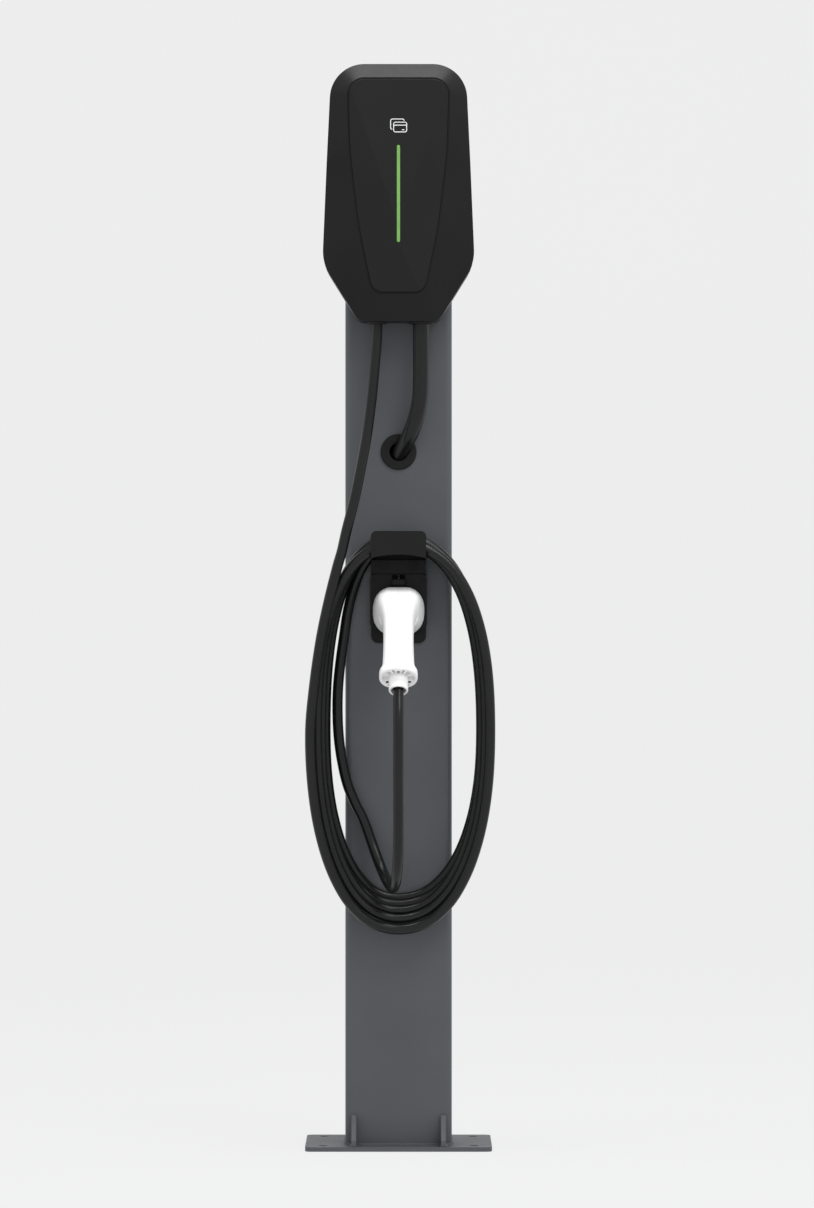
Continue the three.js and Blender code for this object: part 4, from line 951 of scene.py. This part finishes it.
def grip_body(wall, overrun, spacing):
    rows = [(s * MM, u * MM, l * MM, h * MM, n * FULLNESS_SCALE, f * MM) for s, u, l, h, n, f in GRIP_ROWS]
    rows = smooth_line(rows, spacing).tolist()
    rows[0][0] -= overrun
    rows[-1][0] += overrun
    return loft([section(s, u - wall, l - wall, h - wall, n / FULLNESS_SCALE, f - wall)
                 for s, u, l, h, n, f in rows])


SHELL_WALL = 0.0025
grip = new_shape("grip_whole", grip_body(0, 0, 0.0025))
hollow = new_shape("hollow", grip_body(SHELL_WALL, 0.006, 0.006))
combine(grip, hollow, "DIFFERENCE")
grip_surface = BVHTree.FromObject(grip, bpy.context.evaluated_depsgraph_get())
print("grip reaches from", [round(v / MM, 1) for v in grip.bound_box[0]])

# %% [markdown]
# The halves meet along a fine seam down the middle. Each half is the whole body cut by a plane just beside
# the middle, with the cut closed again, and the seam's edges get a tiny radius.

# %% Two halves
SEAM = 0.00005
for side, name in ((-1, "left"), (1, "right")):
    half = new_shape(f"connector_half_{name}", ([], []))
    shape = bmesh.new()
    shape.from_mesh(grip.data)
    parts = [*shape.verts, *shape.edges, *shape.faces]
    cut = bmesh.ops.bisect_plane(shape, geom=parts, plane_co=(side * SEAM, 0, 0),
                                 plane_no=(side, 0, 0), clear_inner=True)
    rim = [part for part in cut["geom_cut"] if isinstance(part, bmesh.types.BMEdge)]
    bmesh.ops.holes_fill(shape, edges=rim, sides=0)
    bmesh.ops.recalc_face_normals(shape, faces=shape.faces)
    shape.to_mesh(half.data)
    shape.free()
    shade(half.data, 35)
    round_edges(half, 0.00015, angle=50)
    settle(half, "connector", WHITE, [f"connector_shell_{name}"])
bpy.data.objects.remove(grip)

# %% [markdown]
# A small raised triangle on each side of the head shows which way up the connector goes. Each one is laid on
# the curved surface by looking for the surface from the front at every point of the triangle.

# %% Direction marks
def raised_triangle(corners, height, steps=6):
    """A low raised triangle that follows the head's surface."""
    a, b, c = [Vector(p) for p in corners]
    top, under, index = [], [], {}
    for i in range(steps + 1):
        for j in range(steps + 1 - i):
            p = a + (b - a) * i / steps + (c - a) * j / steps
            hit, normal, _, _ = grip_surface.ray_cast(Vector((p.x, -0.5, p.y)), Vector((0, 1, 0)))
            index[i, j] = len(top)
            top.append(hit + normal * height)
            under.append(hit - normal * height)
    count = len(top)
    faces = []
    for i in range(steps):
        for j in range(steps - i):
            faces.append((index[i, j], index[i + 1, j], index[i, j + 1]))
            if j + 1 < steps - i:
                faces.append((index[i + 1, j], index[i + 1, j + 1], index[i, j + 1]))
    faces += [tuple(k + count for k in reversed(face)) for face in faces]
    edge = [index[i, 0] for i in range(steps)] + [index[steps - j, j] for j in range(steps)]
    edge += [index[0, steps - k] for k in range(steps)]
    for p, q in zip(edge, edge[1:] + edge[:1]):
        faces.append((p, q, q + count, p + count))
    return top + under, faces


marks = []
for side in (-1, 1):
    corners = [(side * 0.0255, 0.7145), (side * 0.0285, 0.7065), (side * 0.0225, 0.7045)]
    marks.append(raised_triangle(corners, 0.00035))
settle(new_shape("direction_marks", together(*marks)), "connector", WHITE)

# %% [markdown]
# ## The end cap and the collar
# A cap closes the handle's end. Round the cable its face has a ring-shaped hollow with ribs and three screw
# bosses, which saves plastic and keeps the walls even. The hollow is cut with a star-shaped tool: its radius
# falls back to the collar wherever there is a boss or a rib.

# %% The end cap
AXIS = (past_grip(1) - past_grip(0)).normalized()
CAP_ROWS = [
    (0.15, 23.6, 23.4), (1.2, 24.6, 24.0), (2.8, 25.2, 24.5), (6.5, 25.5, 24.8),
    (11.2, 25.4, 24.7), (12.2, 25.0, 24.3), (12.7, 24.3, 23.6),
]
SCREWS = [(0, 0.0163), (-0.0143, -0.008), (0.0143, -0.008)]
COLLAR_BORE = 0.0097
COLLAR_RADIUS = 0.0129
HOLLOW_DEPTH = 0.006
HOLLOW_WIDTH = 0.0082
RIB_ANGLES = (30, 60, 120, 150, 240, 300)


def star_radius(angle):
    """The hollow's outer radius in a direction, in degrees round the cable."""
    opening = 1.0
    for x, v in SCREWS:
        away = abs((angle - math.degrees(math.atan2(v, x)) + 180) % 360 - 180)
        opening = min(opening, max(0.0, (away - 12) / 3))
    for rib in RIB_ANGLES:
        away = abs((angle - rib + 180) % 360 - 180)
        opening = min(opening, max(0.0, (away - 2.5) / 1.5))
    return COLLAR_RADIUS + 0.0006 + HOLLOW_WIDTH * min(opening, 1.0)


def along_axis(radius_of, start, end, steps):
    """A prism round the handle's axis whose radius depends on the direction."""
    rings = []
    for beyond in (start, end):
        ring = []
        for k in range(steps):
            angle = 360 * k / steps
            r, turn = radius_of(angle), math.radians(angle)
            ring.append(past_grip(beyond, r * math.cos(turn), r * math.sin(turn)))
        rings.append(ring)
    return loft(rings)


end_cap = new_shape("end_cap_moulding", loft([
    section(HANDLE + GRIP_LENGTH + s * MM, w * MM, w * MM, h * MM, 2.2, h * MM, sides=96)
    for s, w, h in CAP_ROWS]))
combine(end_cap, new_shape("bore", along_axis(lambda a: COLLAR_BORE, -0.005, 0.02, 48)), "DIFFERENCE")
combine(end_cap, new_shape("star", along_axis(star_radius, CAP_LENGTH - HOLLOW_DEPTH, 0.02, 180)),
        "DIFFERENCE")
RECESS_RADIUS = 0.0029
RECESS_DEPTH = 0.0026
for x, v in SCREWS:
    recess = turned([(0.00001, 0), (RECESS_RADIUS, 0), (RECESS_RADIUS, 0.01), (0.00001, 0.01)],
                    past_grip(CAP_LENGTH - RECESS_DEPTH, x, v), AXIS, 24)
    combine(end_cap, new_shape("recess", recess), "DIFFERENCE")
shade(end_cap.data, 30)
round_edges(end_cap, 0.00035, angle=45)
settle(end_cap, "connector", WHITE, ["end_cap"])

# %% [markdown]
# The collar guides the cable out of the handle and stops it kinking at the edge, so its mouth is rounded and
# wider than the cable. It is a turned ring, and the cable shows in its dark bore.

# %% The collar
collar_foot = CAP_LENGTH - HOLLOW_DEPTH
reach = COLLAR_LENGTH + HOLLOW_DEPTH
profile = [(COLLAR_BORE, 0.0), (COLLAR_RADIUS, 0.0), (COLLAR_RADIUS - 0.0001, reach * 0.5)]
profile += arc(COLLAR_RADIUS - 0.0011, reach - 0.001, 0.001, 0, 90)
profile += arc(COLLAR_BORE + 0.0012, reach - 0.0012, 0.0012, 90, 180)
collar = new_shape("collar_ring", turned(profile, past_grip(collar_foot), AXIS, 72))
settle(collar, "connector", WHITE, ["cable_collar"])

# %% [markdown]
# ## What goes with the cable
# The connector's pieces, which hang on the cable's end, are gathered in one list. The supply cable's far end
# goes back into the post.

# %% The connector's pieces
connector_pieces = ["connector_half_left", "connector_half_right", "direction_marks", "end_cap_moulding",
                    "collar_ring", "connector_nose", "nose_seal"]
connector_pieces += CONTACTS.split() + numbered("end_cap_screw", 3).split()

# %% [markdown]
# ## Floor and light
# The floor curves up far away on every side, like a paper bowl, so no horizon shows from any angle. It is
# one profile turned about the upright axis. The paper glows a little, which keeps it pale behind a dark post.

# %% The backdrop
def paper_bowl(flat, bend, height, steps=96):
    edge = [(0.05, 0.0), (2.0, 0.0), (flat, 0.0)]
    for k in range(1, 17):
        angle = math.pi / 2 * k / 16
        edge.append((flat + bend * math.sin(angle), bend - bend * math.cos(angle)))
    edge.append((flat + bend, height))
    vertices = []
    for r, z in edge:
        vertices += [(r * math.cos(2 * math.pi * k / steps), r * math.sin(2 * math.pi * k / steps), z)
                     for k in range(steps)]
    faces = joined_rings(len(edge), steps, capped=False)
    faces.append(tuple(range(steps)))
    return vertices, faces


PAPER_GLOW = 0.8
PAPER = mixed_finish("backdrop_paper", (0.06, 0.061, 0.062), (0.07, 0.071, 0.072), 0.9, 2.5, 0.01, 0.00002,
                     shine=0.0)
paper = new_shape("backdrop", paper_bowl(9.0, 3.0, 12.0))
paper_shader = PAPER.node_tree.nodes["Principled BSDF"]
paper_shader.inputs["Emission Color"].default_value = (1, 1, 1, 1)
paper_shader.inputs["Emission Strength"].default_value = PAPER_GLOW
paper.data.materials.append(PAPER)
shade(paper.data, 60)

# %% [markdown]
# A pale sky lights everything evenly. A wide soft box in front and above shapes the facets, and one overhead
# picks out the box's top bevel. A lamp's own place and aim say more than angles would, so a helper turns them
# into a rotation.

# %% Soft boxes
SKY_STRENGTH = 0.4


def soft_box(name, place, aim, width, height, power):
    light = bpy.data.lights.new(name, "AREA")
    light.shape = "RECTANGLE"
    light.size, light.size_y = width, height
    light.energy = power
    lamp = bpy.data.objects.new(name, light)
    lamp.location = place
    lamp.rotation_euler = (Vector(aim) - Vector(place)).to_track_quat("-Z", "Y").to_euler()
    bpy.context.collection.objects.link(lamp)


soft_box("front_box", (1.7, -2.9, 3.9), (0, 0, 0.8), 2.0, 2.0, 60)
soft_box("overhead_box", (0.0, -0.3, 2.9), (0, -0.15, 1.4), 1.8, 0.9, 45)

sky = bpy.data.worlds.new("studio_sky")
sky.use_nodes = True
sky.node_tree.nodes["Background"].inputs["Color"].default_value = (0.95, 0.97, 1.0, 1)
sky.node_tree.nodes["Background"].inputs["Strength"].default_value = SKY_STRENGTH
bpy.context.scene.world = sky
bpy.context.scene.view_settings.view_transform = "Standard"
